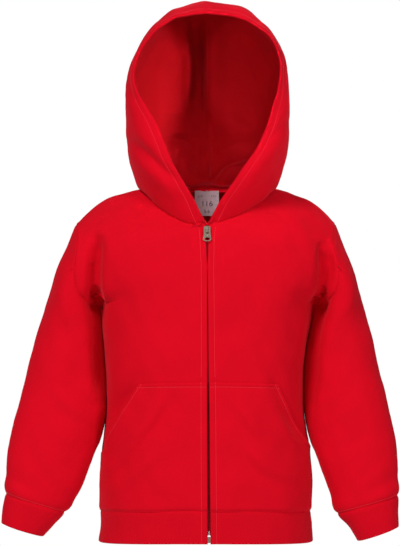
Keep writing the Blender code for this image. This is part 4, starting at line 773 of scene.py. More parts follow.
def creased(panel, creases):
    """Sum of the creases' heights at a panel's points."""
    height = np.zeros(panel.grid.shape[:2])
    flat = panel.grid[..., [0, 2]]
    on_front = face_share_of(panel.normals)
    for face, rows in creases.items():
        face_share = on_front if face == FRONT else 1 - on_front
        for width, top, path in rows:
            path = np.array(path) * MM
            run = run_along(path)
            line = through(run, path, np.linspace(0, run[-1], CREASE_POINTS))
            reach = CREASE_REACH * width * MM
            near = np.all((flat > line.min(axis=0) - reach) & (flat < line.max(axis=0) + reach), axis=-1)
            if not near.any():
                continue
            step = np.diff(line, axis=0)
            to = flat[near][:, None] - line[:-1]
            share = np.clip((to * step).sum(axis=2) / (step**2).sum(axis=1), 0, 1)
            away = np.linalg.norm(to - share[..., None] * step, axis=2)
            closest = away.argmin(axis=1)
            here = np.arange(len(to)), closest
            along = (closest + share[here]) / len(step)
            taper = swell(TAPER_FROM + TAPER_RUN * along, 1)**TAPER_POWER
            height[near] += top * MM * taper * bell(away[here], width) * face_share[near]
    return height


def face_share_of(normals):
    """1 on the front, 0 on the back, and smooth between."""
    return eased(0.5 - normals[..., 1] * SIDE_TURN, 1)


def relief(panel, broad=0.7, middle=0.3, small=0.07):
    """Creases and soft unevenness of a panel."""
    panel.lift += creased(panel, CREASES)
    panel.lift += MM * (broad * ripple(panel.grid, BROAD) + middle * ripple(panel.grid, MIDDLE)
                        + small * ripple(panel.grid, SMALL))


# ---- the shell ----
def shell_panels():
    """Every cloth piece that meets others at seams, by name."""
    quarters = {place: torso(*place, PANEL_SHARES, BODY_ROWS) for place in SECTIONS}
    bands = {place: torso(*place, PANEL_SHARES, BAND_ROWS) for place in SECTIONS}
    split = len(RING_ROWS)
    panels = []
    for side, name in SIDE_NAMES.items():
        front = quarters[side, FRONT]
        close_front(side, front)
        smooth_chest(front)
        tube = sleeve(side, np.concatenate([RING_ROWS, CUFF_ROWS[1:]]))
        panels += [Panel("front_" + name, front, side),
                   Panel("sleeve_" + name, tube[:split], side, closed=True),
                   Panel("cuff_" + name, tube[split - 1:], side, closed=True),
                   Panel("hood_" + name, hood(side, HOOD_ROWS), side)]
    across = np.concatenate([quarters[RIGHT, BACK][:, ::-1], quarters[LEFT, BACK]], axis=1)
    around = np.concatenate([bands[RIGHT, FRONT], bands[RIGHT, BACK][:, ::-1][:, 1:],
                             bands[LEFT, BACK][:, 1:], bands[LEFT, FRONT][:, ::-1][:, 1:]], axis=1)
    panels += [Panel("back", across, -1), Panel("waistband", around, -1)]
    panels[-2].part_from(int(np.searchsorted(BODY_ROWS, BACK_NECK_ROW)), len(PANEL_SHARES) - 1)
    return {panel.name: panel for panel in panels}


# Rows between which the chest is drawn smoothly past the lower end of the neckline.
CHEST_FROM, CHEST_TO = 12.0, 14.5


def smooth_chest(points):
    """Even out the chest where its rows change from the zip's edge to the neckline."""
    first, last = np.searchsorted(BODY_ROWS, (CHEST_FROM, CHEST_TO))
    rows, chest = BODY_ROWS[first:last + 1], points[first:last + 1]
    span = rows[-1] - rows[0]
    leave = (points[first] - points[first - 1]) / (rows[0] - BODY_ROWS[first - 1]) * span
    arrive = (points[last + 1] - points[last]) / (BODY_ROWS[last + 1] - rows[-1]) * span
    smooth = hermite(((rows - rows[0]) / span)[:, None, None], chest[0], leave, chest[-1], arrive)
    run = run_along(chest, axis=1)
    share = eased(run - 8 * MM, 20 * MM) * eased(run[:, -1:] - run, 40 * MM)
    chest += (smooth - chest) * share[..., None]


FRONT_CLOSING = 0.5 * MM
CLOSED_TOP_Z, CLOSED_BOTTOM_Z = -92 * MM, -268 * MM
CLOSED_TOP_RUN, CLOSED_BOTTOM_RUN = 14 * MM, 46 * MM


def close_front(side, points):
    """Between the slider and the pockets the zip draws the front edges closer together."""
    x, z = points[:, :1, 0], points[:, :1, 2]
    along = eased(CLOSED_TOP_Z - z, CLOSED_TOP_RUN) * eased(z - CLOSED_BOTTOM_Z, CLOSED_BOTTOM_RUN)
    points[..., 0] -= side * FRONT_CLOSING * along * bell(points[..., 0] - x, 7)


# Heights between which the sleeves lie against the body, and over which they come to and part.
UNDERARM_Z, PARTING_Z, PARTING_RUN = -151 * MM, -312 * MM, 26 * MM
UNDERARM_WIDTH = 16           # of the strip that is brought together, mm
PRESSED = 0.04 * MM           # each side goes past the middle by this much
# The seams' grooves fade below the first of these heights and come back below the second.
GROOVE_UPPER_Z, GROOVE_LOWER_Z, GROOVE_LEAST = -132 * MM, -305 * MM, 0.05


def seam_depth(points):
    """How much of an armhole or side seam's groove is left: it fades where the cloth is pressed together."""
    z = points[..., 2]
    return np.clip(eased(z - GROOVE_UPPER_Z, 22 * MM) + eased(GROOVE_LOWER_Z - z, 20 * MM), GROOVE_LEAST, 1)


def close_underarm(panels):
    """Bring the sleeves' inner sides and the body's sides together below the underarms."""
    inner = int((BODY_ROWS >= UNDERARM_ROW).sum()) - 1
    for side, name in SIDE_NAMES.items():
        arm, front, back = panels["sleeve_" + name], panels["front_" + name], panels["back"]
        away = np.abs(arm.first_column - arm.u[:, inner:inner + 1])
        parts = [(arm, inner, np.minimum(away, arm.u[:, -1:] - away)), (front, -1, front.last_column),
                 (back, 0, back.first_column) if side == RIGHT else (back, -1, back.last_column)]
        lines = []
        for panel, column, _ in parts:
            line = (panel.grid + panel.normals * panel.lift[..., None])[:, column]
            rise = np.argsort(line[:, 2])
            lines.append((line[rise, 2], side * line[rise, 0]))
        for panel, _, distance in parts:
            z = panel.grid[..., 2]
            arm_x, front_x, back_x = (np.interp(z, *line) for line in lines)
            together = eased(UNDERARM_Z - z, 4 * MM) * eased(z - PARTING_Z + PARTING_RUN / 2, PARTING_RUN)
            gap = arm_x - (front_x + back_x) / 2
            panel.lift += together * (gap / 2 + PRESSED) * bell(distance, UNDERARM_WIDTH)


# Depths and widths in mm of the grooves where pieces are sewn together.
NECK_GROOVE, WAIST_GROOVE, SHOULDER_GROOVE = (1.1, 2.4), (0.45, 2.0), (0.7, 2.0)
SIDE_DEPTH, SIDE_WIDTH = 0.8, 2.2
CUFF_DEPTH, BAND_DEPTH, PADDING = 40 * MM, 42 * MM, 0.5 * MM     # the doubled bands stand out in their middle
RELIEF = {"cuff": (0.3, 0.2), "waistband": (0.3, 0.2), "hood": (0.3, 0.3)}     # broad and middle noise, mm


def shape_shell(panels):
    """Folds, seams and edges of the shell."""
    neck_rows = (BODY_ROWS >= FRONT_NECK_ROW)[:, None]
    for name, panel in panels.items():
        relief(panel, *RELIEF.get(name.split("_")[0], ()))
    for name in SIDE_NAMES.values():
        front, arm, cuff, hood = (panels[kind + name] for kind in ("front_", "sleeve_", "cuff_", "hood_"))
        zip_edge = np.where(neck_rows, 1, front.first_column)
        front.free_edge(zip_edge, CLOTH)
        front.topstitched(zip_edge)
        front.press(np.where(neck_rows, front.first_column, 1), *NECK_GROOVE)
        front.press(front.last_column, SIDE_DEPTH * seam_depth(front.grid), SIDE_WIDTH)
        front.press(front.last_column, -0.6 * seam_depth(front.grid), 2, 3)
        arm.press(arm.first_row, 0.9 * seam_depth(arm.grid), 1.8)
        arm.press(arm.last_row, 1.5, 3.0)
        arm.press(arm.last_row, -1.7, 8, 11)
        cuff.press(cuff.first_row, 1.5, 2.6)
        cuff.free_edge(cuff.last_row, DOUBLED)
        cuff.lift += PADDING * swell(cuff.first_row, CUFF_DEPTH)
        hood.rim = np.minimum(rounding(hood.first_column, HOOD_THICK), CLOTH)
        hood.press(np.minimum(hood.last_column, hood.last_row), 0.8, 2.4)
        hood.press(hood.first_row, 1.2, 2.6)
        hood.topstitched(hood.first_column, HOOD_INSET, 0.3)
    back, band = panels["back"], panels["waistband"]
    for distance in (back.first_column, back.last_column):
        back.press(distance, SIDE_DEPTH * seam_depth(back.grid), SIDE_WIDTH)
    for panel in (panels["front_right"], panels["front_left"], back):
        panel.press(panel.first_row, *WAIST_GROOVE)
        panel.press(panel.last_row, *SHOULDER_GROOVE)
    row, column = back.parting
    neck = back.grid[row:, column:column + 2].reshape(-1, 3)
    back.press(np.minimum.reduce([np.linalg.norm(back.grid - point, axis=2) for point in neck]), *NECK_GROOVE)
    band.press(band.last_row, 0.5, 2.0)
    band.free_edge(band.first_row, DOUBLED)
    band.lift += PADDING * swell(band.last_row, BAND_DEPTH)
    for distance in (band.first_column, band.last_column):
        band.free_edge(distance, DOUBLED)
        band.topstitched(distance)
    close_underarm(panels)


def make_shell(panels, groups, materials):
    """The shell's pieces; returns their outer points by name."""
    outers, inners = {}, {}
    for name, panel in panels.items():
        outers[name], inners[name] = panel.layers(DOUBLED if name.startswith(("cuff", "waistband")) else CLOTH)
        if name.startswith("hood"):
            inners[name] = panel.grid + panel.normals * (panel.lift - CLOTH)[..., None]
    close_seams(groups, outers)
    for name, panel in panels.items():
        look = "rib" if name.startswith(("cuff", "waistband")) else "cloth"
        cloth_piece(name, outers[name], inners[name], panel, materials[look])
    return outers


LINING_STAND, LINING_RIPPLE = 1.6 * MM, 0.9 * MM


def make_lining(side, panel, materials):
    """The hood's inner layer, which billows inwards from the outer one."""
    seam = np.minimum(panel.last_column, panel.last_row)
    calm = (1 - bell(panel.first_column, 24)) * (1 - bell(panel.first_row, 12))
    stand = creased(panel, LINING_CREASES) + LINING_STAND + LINING_RIPPLE * ripple(panel.grid, MIDDLE)
    stand = np.maximum(stand * calm + billow(panel.grid, side, HOOD_ROWS, HOOD_SHARES), 0)
    near = CLOTH + LAYER_GAP + stand * (1 - bell(seam, 3.5))
    far = near + LINING - np.minimum(rounding(panel.first_column, HOOD_THICK), LINING)
    far -= 0.9 * MM * bell(seam, 2.2) + 0.35 * MM * bell(panel.first_column, 1.3, 12)
    outer, inner = (panel.grid + panel.normals * (panel.lift - depth)[..., None] for depth in (near, far))
    cloth_piece("hood_lining_" + SIDE_NAMES[side], outer, inner, panel, materials["lining"])


# ---- pockets ----
POCKET_STEP = 1 / 52          # between columns
MOUTH_LENGTH, MOUTH_GAPE = 92 * MM, 4.2     # the open part of the mouth, and how far it stands off, mm
SEWN_Z, SEWN_RUN = -346 * MM, 10 * MM       # where the mouth's edge starts to run into the side seam


def pocket_panel(side, front):
    """A pocket half on its front: its grid lies on the front's own points."""
    centre = front.grid[:, 0, 2]
    below_neck = BODY_ROWS < FRONT_NECK_ROW - 1
    top_row = float(np.interp(POCKET_TOP_Z, centre[below_neck], BODY_ROWS[below_neck]))
    rows = lines_between(0, top_row, FINE, SEAM_LINES, (0.02, 0.045, 0.08, 0.14, 0.2))
    shares = lines_between(0, 1, POCKET_STEP, (0.0016, 0.0055, 0.011, 0.022, 0.036, 0.045, 0.052, 0.058, 0.066),
                           (0.002, 0.006, 0.012, 0.025, 0.035, 0.045))
    row_at = np.interp(rows, BODY_ROWS, np.arange(len(BODY_ROWS)))
    columns = np.arange(len(PANEL_SHARES))
    column_at = np.empty((len(rows), len(shares)))
    for i, r in enumerate(row_at):
        low = min(int(r), len(BODY_ROWS) - 2)
        line = front.grid[low] * (1 - (r - low)) + front.grid[low + 1] * (r - low)
        mouth_x = np.interp(line[:, 2] / MM, POCKET_MOUTH["z"][::-1], POCKET_MOUTH[side][::-1]) * MM
        beyond = np.abs(line[:, 0]) - mouth_x
        reach = columns[-1]
        if beyond.max() >= 0:
            first = max(int(np.argmax(beyond >= 0)), 1)
            reach = float(np.interp(0, beyond[first - 1:first + 1], columns[first - 1:first + 1]))
        column_at[i] = np.interp(shares * np.interp(reach, columns, PANEL_SHARES), PANEL_SHARES, columns)
    place = np.repeat(row_at, len(shares)), column_at.ravel()
    points, normals = front.at(front.grid, *place)
    panel = Panel("pocket_" + SIDE_NAMES[side], points.reshape(column_at.shape + (3,)), side)
    panel.normals = normals.reshape(panel.grid.shape)
    panel.lift = front.at(front.lift[..., None], *place)[0].reshape(column_at.shape)
    panel.lift += POCKET_STAND + POCKET_CLOTH
    z, mouth, top = panel.grid[..., 2], panel.last_column, panel.last_row
    panel.press(mouth, -MOUTH_GAPE * swell(z - POCKET_END_Z, MOUTH_LENGTH) * (z > POCKET_END_Z), 13)
    sewn_in = eased(SEWN_Z - z, SEWN_RUN) * bell(mouth, 9)
    panel.rim = 0.4 * POCKET_CLOTH * sewn_in
    panel.lift -= 0.3 * MM * sewn_in
    panel.press(top, -0.25, 2.0, 3)
    panel.press(top, 0.5, 1.2, POCKET_TOP_INSET)
    panel.press(mouth, 0.5, 1.2, MOUTH_INSET)
    panel.press(panel.first_row, 1.9, 3)
    for distance in (mouth, top, panel.first_column):
        panel.free_edge(distance, POCKET_CLOTH)
    return panel


# ---- neck tape and label ----
TAPE_FROM_ROW = 2.0           # the tape starts this many neckline rows behind the shoulder
TAPE_ROWS = 9                 # grid lines over its width


def make_neck_tape(hoods, materials):
    """A tape over the back neck seam, laid on the hood's inner layer."""
    first = int(np.searchsorted(HOOD_SHARES, (SHOULDER_ROW - FRONT_NECK_ROW + TAPE_FROM_ROW) / NECK_ROW_COUNT))
    rows = np.linspace(TAPE_REACH[0] * HOOD_BAND, TAPE_REACH[1] * HOOD_BAND, TAPE_ROWS)
    row, column = np.meshgrid(np.interp(rows, HOOD_ROWS, np.arange(len(HOOD_ROWS))),
                              np.arange(first, len(HOOD_SHARES), 2.0), indexing="ij")
    halves = []
    for side in (RIGHT, LEFT):
        points, normals = hoods[side].at(hoods[side].grid, row.ravel(), column.ravel())
        points -= normals * (HOOD_THICK + TAPE_GAP)
        halves.append([field.reshape(row.shape + (3,)) for field in (points, normals)])
    grid, normals = (np.concatenate([right, left[:, ::-1][:, 1:]], axis=1) for right, left in zip(*halves))
    panel = Panel("neck_tape", grid, -1)
    panel.normals = normals
    fade = swell(np.linspace(0, 1, len(rows)), 1)[:, None]
    panel.lift = -0.25 * MM * (1 - fade) - 0.15 * MM
    cloth_piece("neck_tape", *panel.layers(TAPE), panel, materials["tape"])


LABEL_NUMBERS = [             # text, x and z of its top middle, and its size, in mm
    ("116", 9.2, -4.4, 5.4), ("5-6", -9.2, -4.4, 5.4), ("116", 0, -12.5, 11.0), ("5-6", 0, -25.5, 6.0),
]


def make_label(materials):
    """The neck label: a woven satin label, left bare but for the size in numbers."""
    ends = (0.006, 0.02)
    across = lines_between(-0.5, 0.5, 1 / 24, ends, ends) * LABEL_SIZE[0]
    x, share = np.meshgrid(across, lines_between(0, 1, 1 / 24, ends, ends)[::-1])
    sag = LABEL_SAG * (swell(share, 1) + share)
    wave = 0.35 * MM * np.sin(share * 7.0 + x / MM * 0.13) * share
    y = sag - LABEL_CURVE * x * x + wave - LABEL_AHEAD
    panel = Panel("neck_label", np.stack([x, y, -share * LABEL_SIZE[1]], axis=2) + LABEL_TOP, 1)
    borders = (panel.first_column, panel.last_column, panel.first_row, panel.last_row)
    panel.press(np.minimum.reduce(borders), 0.12, 0.7, 1.2)
    outer, inner = panel.layers(LABEL)
    cloth_piece("neck_label", outer, inner, panel, materials["label"])
    for text, x, z, size in LABEL_NUMBERS:
        make_number(text, x * MM, z * MM, size * MM, outer.reshape(-1, 3), materials["print"])


def make_number(text, x, z, size, surface, material):
    """Plain numbers printed on the label, laid on its curve."""
    curve = bpy.data.curves.new("number", "FONT")
    curve.body, curve.size, curve.align_x, curve.extrude = text, size, "CENTER", 0.02 * MM
    holder = bpy.data.objects.new("number", curve)
    bpy.context.scene.collection.objects.link(holder)
    bpy.context.view_layer.update()
    mesh = bpy.data.meshes.new_from_object(holder.evaluated_get(bpy.context.evaluated_depsgraph_get()))
    bpy.data.objects.remove(holder)
    points = np.array([v.co for v in mesh.vertices])
    px, pz = points[:, 0] + x, points[:, 1] + z - size * 0.8 + LABEL_TOP[2]
    nearest = ((surface[:, 0] - px[:, None])**2 + (surface[:, 2] - pz[:, None])**2).argmin(axis=1)
    py = surface[nearest, 1] - 0.03 * MM - points[:, 2]
    for vertex, place in zip(mesh.vertices, zip(px, py, pz)):
        vertex.co = place
    placed("label_size_" + text, mesh, material, smooth=False)


# ---- stitching ----
STITCH_LENGTH, STITCH_PITCH, STITCH_RADIUS, STITCH_SUNK = 2.5 * MM, 3.3 * MM, 0.34 * MM, 0.12 * MM
STITCH_SIDES = 6
STITCH_RINGS = [(-0.5, 0.35), (-0.36, 0.9), (0.0, 1.0), (0.36, 0.9), (0.5, 0.35)]  # place and width, as shares


def border_line(panel, outer, border, inset, low=0.0, high=1.0):
    """Points and normals of a line at a distance from one border of a panel."""
    by_row, turned = border.endswith("column"), border.startswith("last")
    run = getattr(panel, border) if by_row else getattr(panel, border).T
    run = run[:, ::-1] if turned else run
    at = np.array([np.interp(inset, line, np.arange(run.shape[1])) for line in run])
    at = run.shape[1] - 1 - at if turned else at
    part = slice(int(low * (len(run) - 1)), int(round(high * (len(run) - 1))) + 1)
    place = np.arange(len(run), dtype=float)[part], at[part]
    return panel.at(outer, *(place if by_row else place[::-1]))


def stitch_row(line, normals):
    """Centres, directions and normals of the stitches along a line."""
    run = run_along(line)
    count = int(run[-1] / STITCH_PITCH)
    at = (np.arange(count) + 0.5) * run[-1] / count
    up = unit(read_line(at, run, normals))
    along = read_line(at + STITCH_PITCH / 3, run, line) - read_line(at - STITCH_PITCH / 3, run, line)
    return read_line(at, run, line) + up * (STITCH_RADIUS * 0.35 - STITCH_SUNK), unit(along), up


def bead_mesh(name, loops, rings, flipped=False):
    """A mesh of closed beads: each is a tube through its number of loops, with a cap at either end."""
    around = len(loops[0])
    faces = []
    for first in range(0, len(loops) * around, rings * around):
        end = first + (rings - 1) * around
        for ring in range(first, end, around):
            for k in range(around):
                a, b = ring + k, ring + (k + 1) % around
                faces.append((a, b, b + around, a + around))
        faces += [range(first + around - 1, first - 1, -1), range(end, end + around)]
    mesh = bpy.data.meshes.new(name)
    faces = [tuple(face)[::-1 if flipped else 1] for face in faces]
    mesh.from_pydata(np.concatenate(loops).tolist(), [], faces)
    return mesh


def make_stitches(node, rows, material):
    """One mesh of thread stitches, each a small rounded capsule."""
    angle = np.arange(STITCH_SIDES)[:, None] * 2 * math.pi / STITCH_SIDES
    loops = []
    for centres, along, up in rows:
        across = unit(np.cross(along, up))
        for centre, a, b, n in zip(centres, along, across, np.cross(across, along)):
            round_it = (b * np.cos(angle) + n * np.sin(angle) * 0.8) * STITCH_RADIUS
            loops += [centre + a * x * STITCH_LENGTH + round_it * wide for x, wide in STITCH_RINGS]
    placed("stitching_" + node, bead_mesh("stitching_" + node, loops, len(STITCH_RINGS)), material)


def make_all_stitching(panels, outers, material):
    """By node, the stitch rows: on what, from which border, how far in mm, and over which of its length."""
    neck, pocket_top = (np.searchsorted(BODY_ROWS, row) / (len(BODY_ROWS) - 1) for row in (FRONT_NECK_ROW, 6.8))
    table = {}
    for name in SIDE_NAMES.values():
        front, pocket, sleeve, hood = (kind + name for kind in ("front_", "pocket_", "sleeve_", "hood_"))
        table[front] = [
            (front, "first_column", FRONT_INSET, pocket_top, neck),
            (pocket, "first_column", FRONT_INSET, 0.03, 1),
            *((front, "first_row", inset, 0, 1) for inset in WAIST_INSETS),
            (pocket, "last_row", POCKET_TOP_INSET, 0.02, 0.99),
            (pocket, "last_column", MOUTH_INSET, 0.3, 0.99),
        ]
        table[sleeve] = [(sleeve, "last_row", 2.2, 0, 1)]
        table[hood] = [(hood, "first_column", HOOD_INSET, 0.02, 0.995)]
    table["back"] = [("back", "first_row", inset, 0, 1) for inset in WAIST_INSETS]
    table["waistband"] = [("waistband", border, FRONT_INSET, 0.1, 0.97)
                          for border in ("first_column", "last_column")]
    for node, lines in table.items():
        rows = []
        for name, border, inset, low, high in lines:
            line, ups = border_line(panels[name], outers[name], border, inset * MM, low, high)
            if panels[name].closed:
                line, ups = np.concatenate([line, line[:1]]), np.concatenate([ups, ups[:1]])
            rows.append(stitch_row(line, ups))
        make_stitches(node, rows, material)


# ---- zip ----
ZIP_ROWS = np.linspace(HEM_ROW, FRONT_NECK_ROW, 121)
CHAIN_ENDS = (2 * MM, 4 * MM)     # from the tape's lower and upper end to the first and last tooth
TAPE_ACROSS = np.array([0.9, 2.6, 4.0, 6.0, 8.0, 10.0, 12.0, 12.9]) * MM
TOOTH_PITCH = 2.0 * MM
# Half the outline of a tooth seen from the front: head over the centre, waist, and body on the tape.
TOOTH_OUTLINE = [(-0.55, 0.0), (-0.4, 0.34), (0.35, 0.4), (0.8, 0.3), (1.2, 0.46), (2.4, 0.5), (2.6, 0.3)]
TOOTH_LAYERS = [(0.12, 0.8), (0.5, 1.0), (2.1, 1.0), (2.48, 0.8)]     # depth in mm, and size as a share


def zip_frames():
    """Centre-front points, outward and upward directions on fine rows."""
    centre = torso(LEFT, FRONT, [0.0, 0.5], ZIP_ROWS)[:, 0]
    centre[:, 0] = zip_x(centre[:, 2])
    up = np.gradient(centre, axis=0)
    up[:, 0] = 0
    up = unit(up)
    return centre, unit(np.cross(np.array([1.0, 0.0, 0.0]), up)), up


def front_cover(rows):
    """How deep under the centre front's outer face the zip starts, behind the waistband and the front."""
    return np.where(rows <= BAND_ROW + 0.1, DOUBLED, CLOTH) + ZIP_GAP


def make_zip_tape(side, materials):
    """A woven tape behind the front edge."""
    keep = (ZIP_ROWS >= ZIP_BOTTOM_ROW) & (ZIP_ROWS <= ZIP_TOP_ROW)
    centre, out, _ = (field[keep, None] for field in zip_frames())
    depth = front_cover(ZIP_ROWS[keep]) + (CHAIN_THICK - TAPE) / 2
    grid = centre + np.array([side, 0, 0]) * TAPE_ACROSS[:, None] - out * depth[:, None, None]
    panel = Panel("tape", grid, side)
    panel.normals = np.repeat(out, len(TAPE_ACROSS), axis=1)
    cloth_piece("zip_tape_" + SIDE_NAMES[side], *panel.layers(TAPE), panel, materials["tape"])


def make_teeth(side, materials):
    """The teeth of one side: moulded blocks that clasp the tape's edge, set between the other side's."""
    centre, out, up = zip_frames()
    run = run_along(centre)
    low = np.interp(ZIP_BOTTOM_ROW, ZIP_ROWS, run) + CHAIN_ENDS[0]
    high = np.interp(ZIP_TOP_ROW, ZIP_ROWS, run) - CHAIN_ENDS[1]
    at = np.arange(low + (TOOTH_PITCH / 2 if side == LEFT else 0), high, TOOTH_PITCH)
    covers = front_cover(np.interp(at, run, ZIP_ROWS))
    frames = read_line(at, run, centre), unit(read_line(at, run, out)), unit(read_line(at, run, up))
    shape = np.array(TOOTH_OUTLINE + [(x, -z) for x, z in TOOTH_OUTLINE[::-1] if z > 0]) * MM
    middle = shape.mean(axis=0)
    loops = []
    for place, face, rise, cover in zip(*frames, covers):
        for depth, size in TOOTH_LAYERS:
            loop = middle + (shape - middle) * size
            loops.append(place + np.array([side, 0, 0]) * loop[:, :1] + rise * loop[:, 1:]
                         - face * (cover + depth * MM))
    mesh = bead_mesh("teeth", loops, len(TOOTH_LAYERS), flipped=side == LEFT)
    placed("zip_teeth_" + SIDE_NAMES[side], mesh, materials["teeth"], sharp=35)


# ---- materials ----
RED = (0.62, 0.0010, 0.0110, 1.0)


class Nodes:
    """Short calls for building a material's node tree."""

    def __init__(self, name):
        self.material = bpy.data.materials.new(name)
        self.material.use_nodes = True
        self.tree = self.material.node_tree

    def feed(self, node, inputs):
        """Set a node's inputs, or link the outputs that are given for them."""
        for key, value in inputs.items():
            if isinstance(value, bpy.types.NodeSocket):
                self.tree.links.new(value, node.inputs[key])
            else:
                node.inputs[key].default_value = value

    def shade(self, inputs):
        self.feed(self.tree.nodes["Principled BSDF"], inputs)
        return self.material

    def add(self, kind, output, inputs=None, **settings):
        node = self.tree.nodes.new(kind)
        for key, value in settings.items():
            setattr(node, key, value)
        self.feed(node, inputs or {})
        return node.outputs[output]

    def place(self, output):
        return self.add("ShaderNodeTexCoord", output)

    def noise(self, vector, scale, detail=3.0, roughness=0.55):
        inputs = {"Scale": scale, "Detail": detail, "Roughness": roughness, "Vector": vector}
        return self.add("ShaderNodeTexNoise", "Fac", inputs)

    def wave(self, vector, pitch, direction, distortion=0.0):
        """Bands of a pitch in the vector's units along X or Y."""
        inputs = {"Scale": math.pi / 10 / pitch, "Distortion": distortion, "Detail": 0, "Vector": vector}
        return self.add("ShaderNodeTexWave", "Fac", inputs, wave_type="BANDS", bands_direction=direction)

    def math(self, operation, a, b):
        return self.add("ShaderNodeMath", 0, {0: a, 1: b}, operation=operation)

    def ramp(self, factor, low, high, start=0.0, end=1.0):
        colour = self.add("ShaderNodeValToRGB", "Color", {"Fac": factor})
        for element, position, value in zip(colour.node.color_ramp.elements, (start, end), (low, high)):
            element.position, element.color = position, value
        return colour

    def stretch(self, factor, low, high, **source):
        inputs = {"Value": factor, "To Min": low, "To Max": high, **source}
        return self.add("ShaderNodeMapRange", "Result", inputs)

    def bump(self, height, distance, strength=1.0, normal=None):
        inputs = {"Distance": distance, "Strength": strength, "Height": height}
        return self.add("ShaderNodeBump", "Normal", inputs if normal is None else {**inputs, "Normal": normal})


def shaded(colour, value):
    return tuple(c * value for c in colour[:3]) + (1.0,)


def cloth_look(name, colour, rib=0.0, wale=1.15, course=0.95, fuzz=0.5, sheen=0.3, vary=0.05):
    """Knitted cloth: wales and courses in bump, fine fuzz, and a slight unevenness of colour."""
    m = Nodes(name)
    uv = m.place("UV")
    grain = m.noise(uv, 0.9, 2.0, 0.7)
    soft = m.noise(m.place("Object"), 22.0)
    mixed = m.math("ADD", m.math("MULTIPLY", soft, 0.45), m.math("MULTIPLY", grain, 0.55))
    knit = m.math("MULTIPLY", m.wave(uv, wale, "X", 0.6), m.wave(uv, course, "Y", 0.6))
    normal = m.bump(m.noise(uv, 2.2, 3.0, 0.75), 0.00018, fuzz, m.bump(knit, 0.00012, 0.35))
    if rib:
        normal = m.bump(m.wave(uv, rib, "X", 0.15), 0.00028, 0.55, normal)
    return m.shade({
        "Base Color": m.ramp(mixed, shaded(colour, 1 - vary), shaded(colour, 1 + vary), 0.32, 0.68),
        "Roughness": m.stretch(grain, 0.78, 0.95), "Normal": normal, "Specular IOR Level": 0.06,
        "Sheen Weight": sheen, "Sheen Roughness": 0.4, "Sheen Tint": (1.0, 0.10, 0.14, 1.0),
    })


def tape_look(name, colour):
    """Woven zip or neck tape: a fine twill."""
    m = Nodes(name)
    uv = m.place("UV")
    turned = m.add("ShaderNodeMapping", "Vector", {"Rotation": (0, 0, math.radians(35)), "Vector": uv})
    twill = m.wave(turned, 0.8, "X", 0.3)
    return m.shade({
        "Base Color": m.ramp(twill, shaded(colour, 0.8), shaded(colour, 1.1)), "Specular IOR Level": 0.15,
        "Roughness": m.stretch(m.noise(uv, 1.5), 0.65, 0.85), "Normal": m.bump(twill, 0.00015, 0.6),
    })


def label_look():
    """Woven satin."""
    m = Nodes("label_satin")
    uv = m.place("UV")
    weave = m.math("MULTIPLY", m.wave(uv, 0.5, "X"), m.wave(uv, 0.35, "Y"))
    return m.shade({
        "Base Color": m.ramp(m.noise(uv, 0.3), (0.72, 0.55, 0.60, 1), (0.82, 0.66, 0.71, 1), 0.35, 0.65),
        "Roughness": m.stretch(weave, 0.42, 0.6), "Normal": m.bump(weave, 0.00008, 0.5),
        "Specular IOR Level": 0.35,
    })


def plain_look(name, colour, low, high, metallic=0.0, scale=400.0, specular=0.3):
    """Thread, print, teeth or plated metal, with a fine unevenness."""
    m = Nodes(name)
    grain = m.noise(m.place("Object"), scale)
    return m.shade({
        "Base Color": m.ramp(grain, shaded(colour, 0.88), shaded(colour, 1.08), 0.3, 0.7),
        "Roughness": m.stretch(grain, low, high), "Normal": m.bump(grain, 0.00006, 0.4),
        "Metallic": metallic, "Specular IOR Level": specular,
    })


def make_materials():
    return {
        "cloth": cloth_look("sweat_cloth", RED),
        "rib": cloth_look("rib_knit", shaded(RED, 0.94), rib=2.4, wale=1.2),
        "lining": cloth_look("hood_lining_jersey", (0.48, 0.0033, 0.0085, 1), fuzz=0.35, sheen=0.1),
        "tape": tape_look("tape_twill", shaded(RED, 0.55)),
        "label": label_look(),
        "print": plain_look("label_print", (0.06, 0.05, 0.09, 1), 0.5, 0.7),
        # The thread is dyed the cloth's red. Its colour is painted lighter and pinker than that, a painted
        # sheen along the stitching.
        "thread": plain_look("thread", (0.78, 0.022, 0.040, 1), 0.45, 0.6, scale=900.0, specular=0.25),
        # The teeth are dyed red. Their colour is darkened further as painted shade, the shade in the narrow gap
        # between the fronts.
        "teeth": plain_look("zip_teeth", shaded(RED, 0.42), 0.3, 0.45, scale=700.0),
        "nickel": plain_look("plated_metal", (0.52, 0.40, 0.31, 1), 0.16, 0.34, metallic=1.0, scale=900.0),
    }


# ---- a record for cut pieces ----
# A record of what a cloth piece was cut to, flat: width and length in metres, the cut's area in square metres,
# how it is held and what it hangs from or lies on. No piece is given one here.
Cut = namedtuple("Cut", "width length area held rests_on")

# ---- camera, light and floor ----
# Round area lights: place, target, size in metres, watts and spread. The hood's inside is lit by lights of
# its own, the rest of the garment by the others.
LIGHTS = {
    "key": ((-2.0, -3.3, 3.0), (0, 0, -0.1), 1.6, 188, 180),
    "fill": ((3.0, -3.9, 0.7), (0, 0, -0.1), 1.6, 95, 180),
    "hood_light_right": ((2.5, -3.5, 0.35), (0, 0.1, 0.12), 0.6, 145, 180),
    "hood_light_left": ((-1.7, -3.5, 0.1), (0, 0.1, 0.12), 0.3, 33, 180),
    "hood_light": ((0.12, -1.78, 0.05), (-0.01, 0.04, -0.02), 0.3, 0.11, 11),
    "hood_light_front": ((1.1, -1.8, 0.4), (0.07, 0, 0.17), 0.4, 0.13, 9),
}
LINING_LIGHTS = ("hood_light_right", "hood_light_left", "hood_light")
CAMERA_AT, LENS, SENSOR = (-0.0095, -3.5, -0.113), 169.7, 36
WORLD_LIGHT = 0.16
FLOOR_Z, FLOOR_RADIUS, FLOOR_FADE = -0.93, 3.4, (1.2, 3.3)
WHITE = (1, 1, 1, 1)


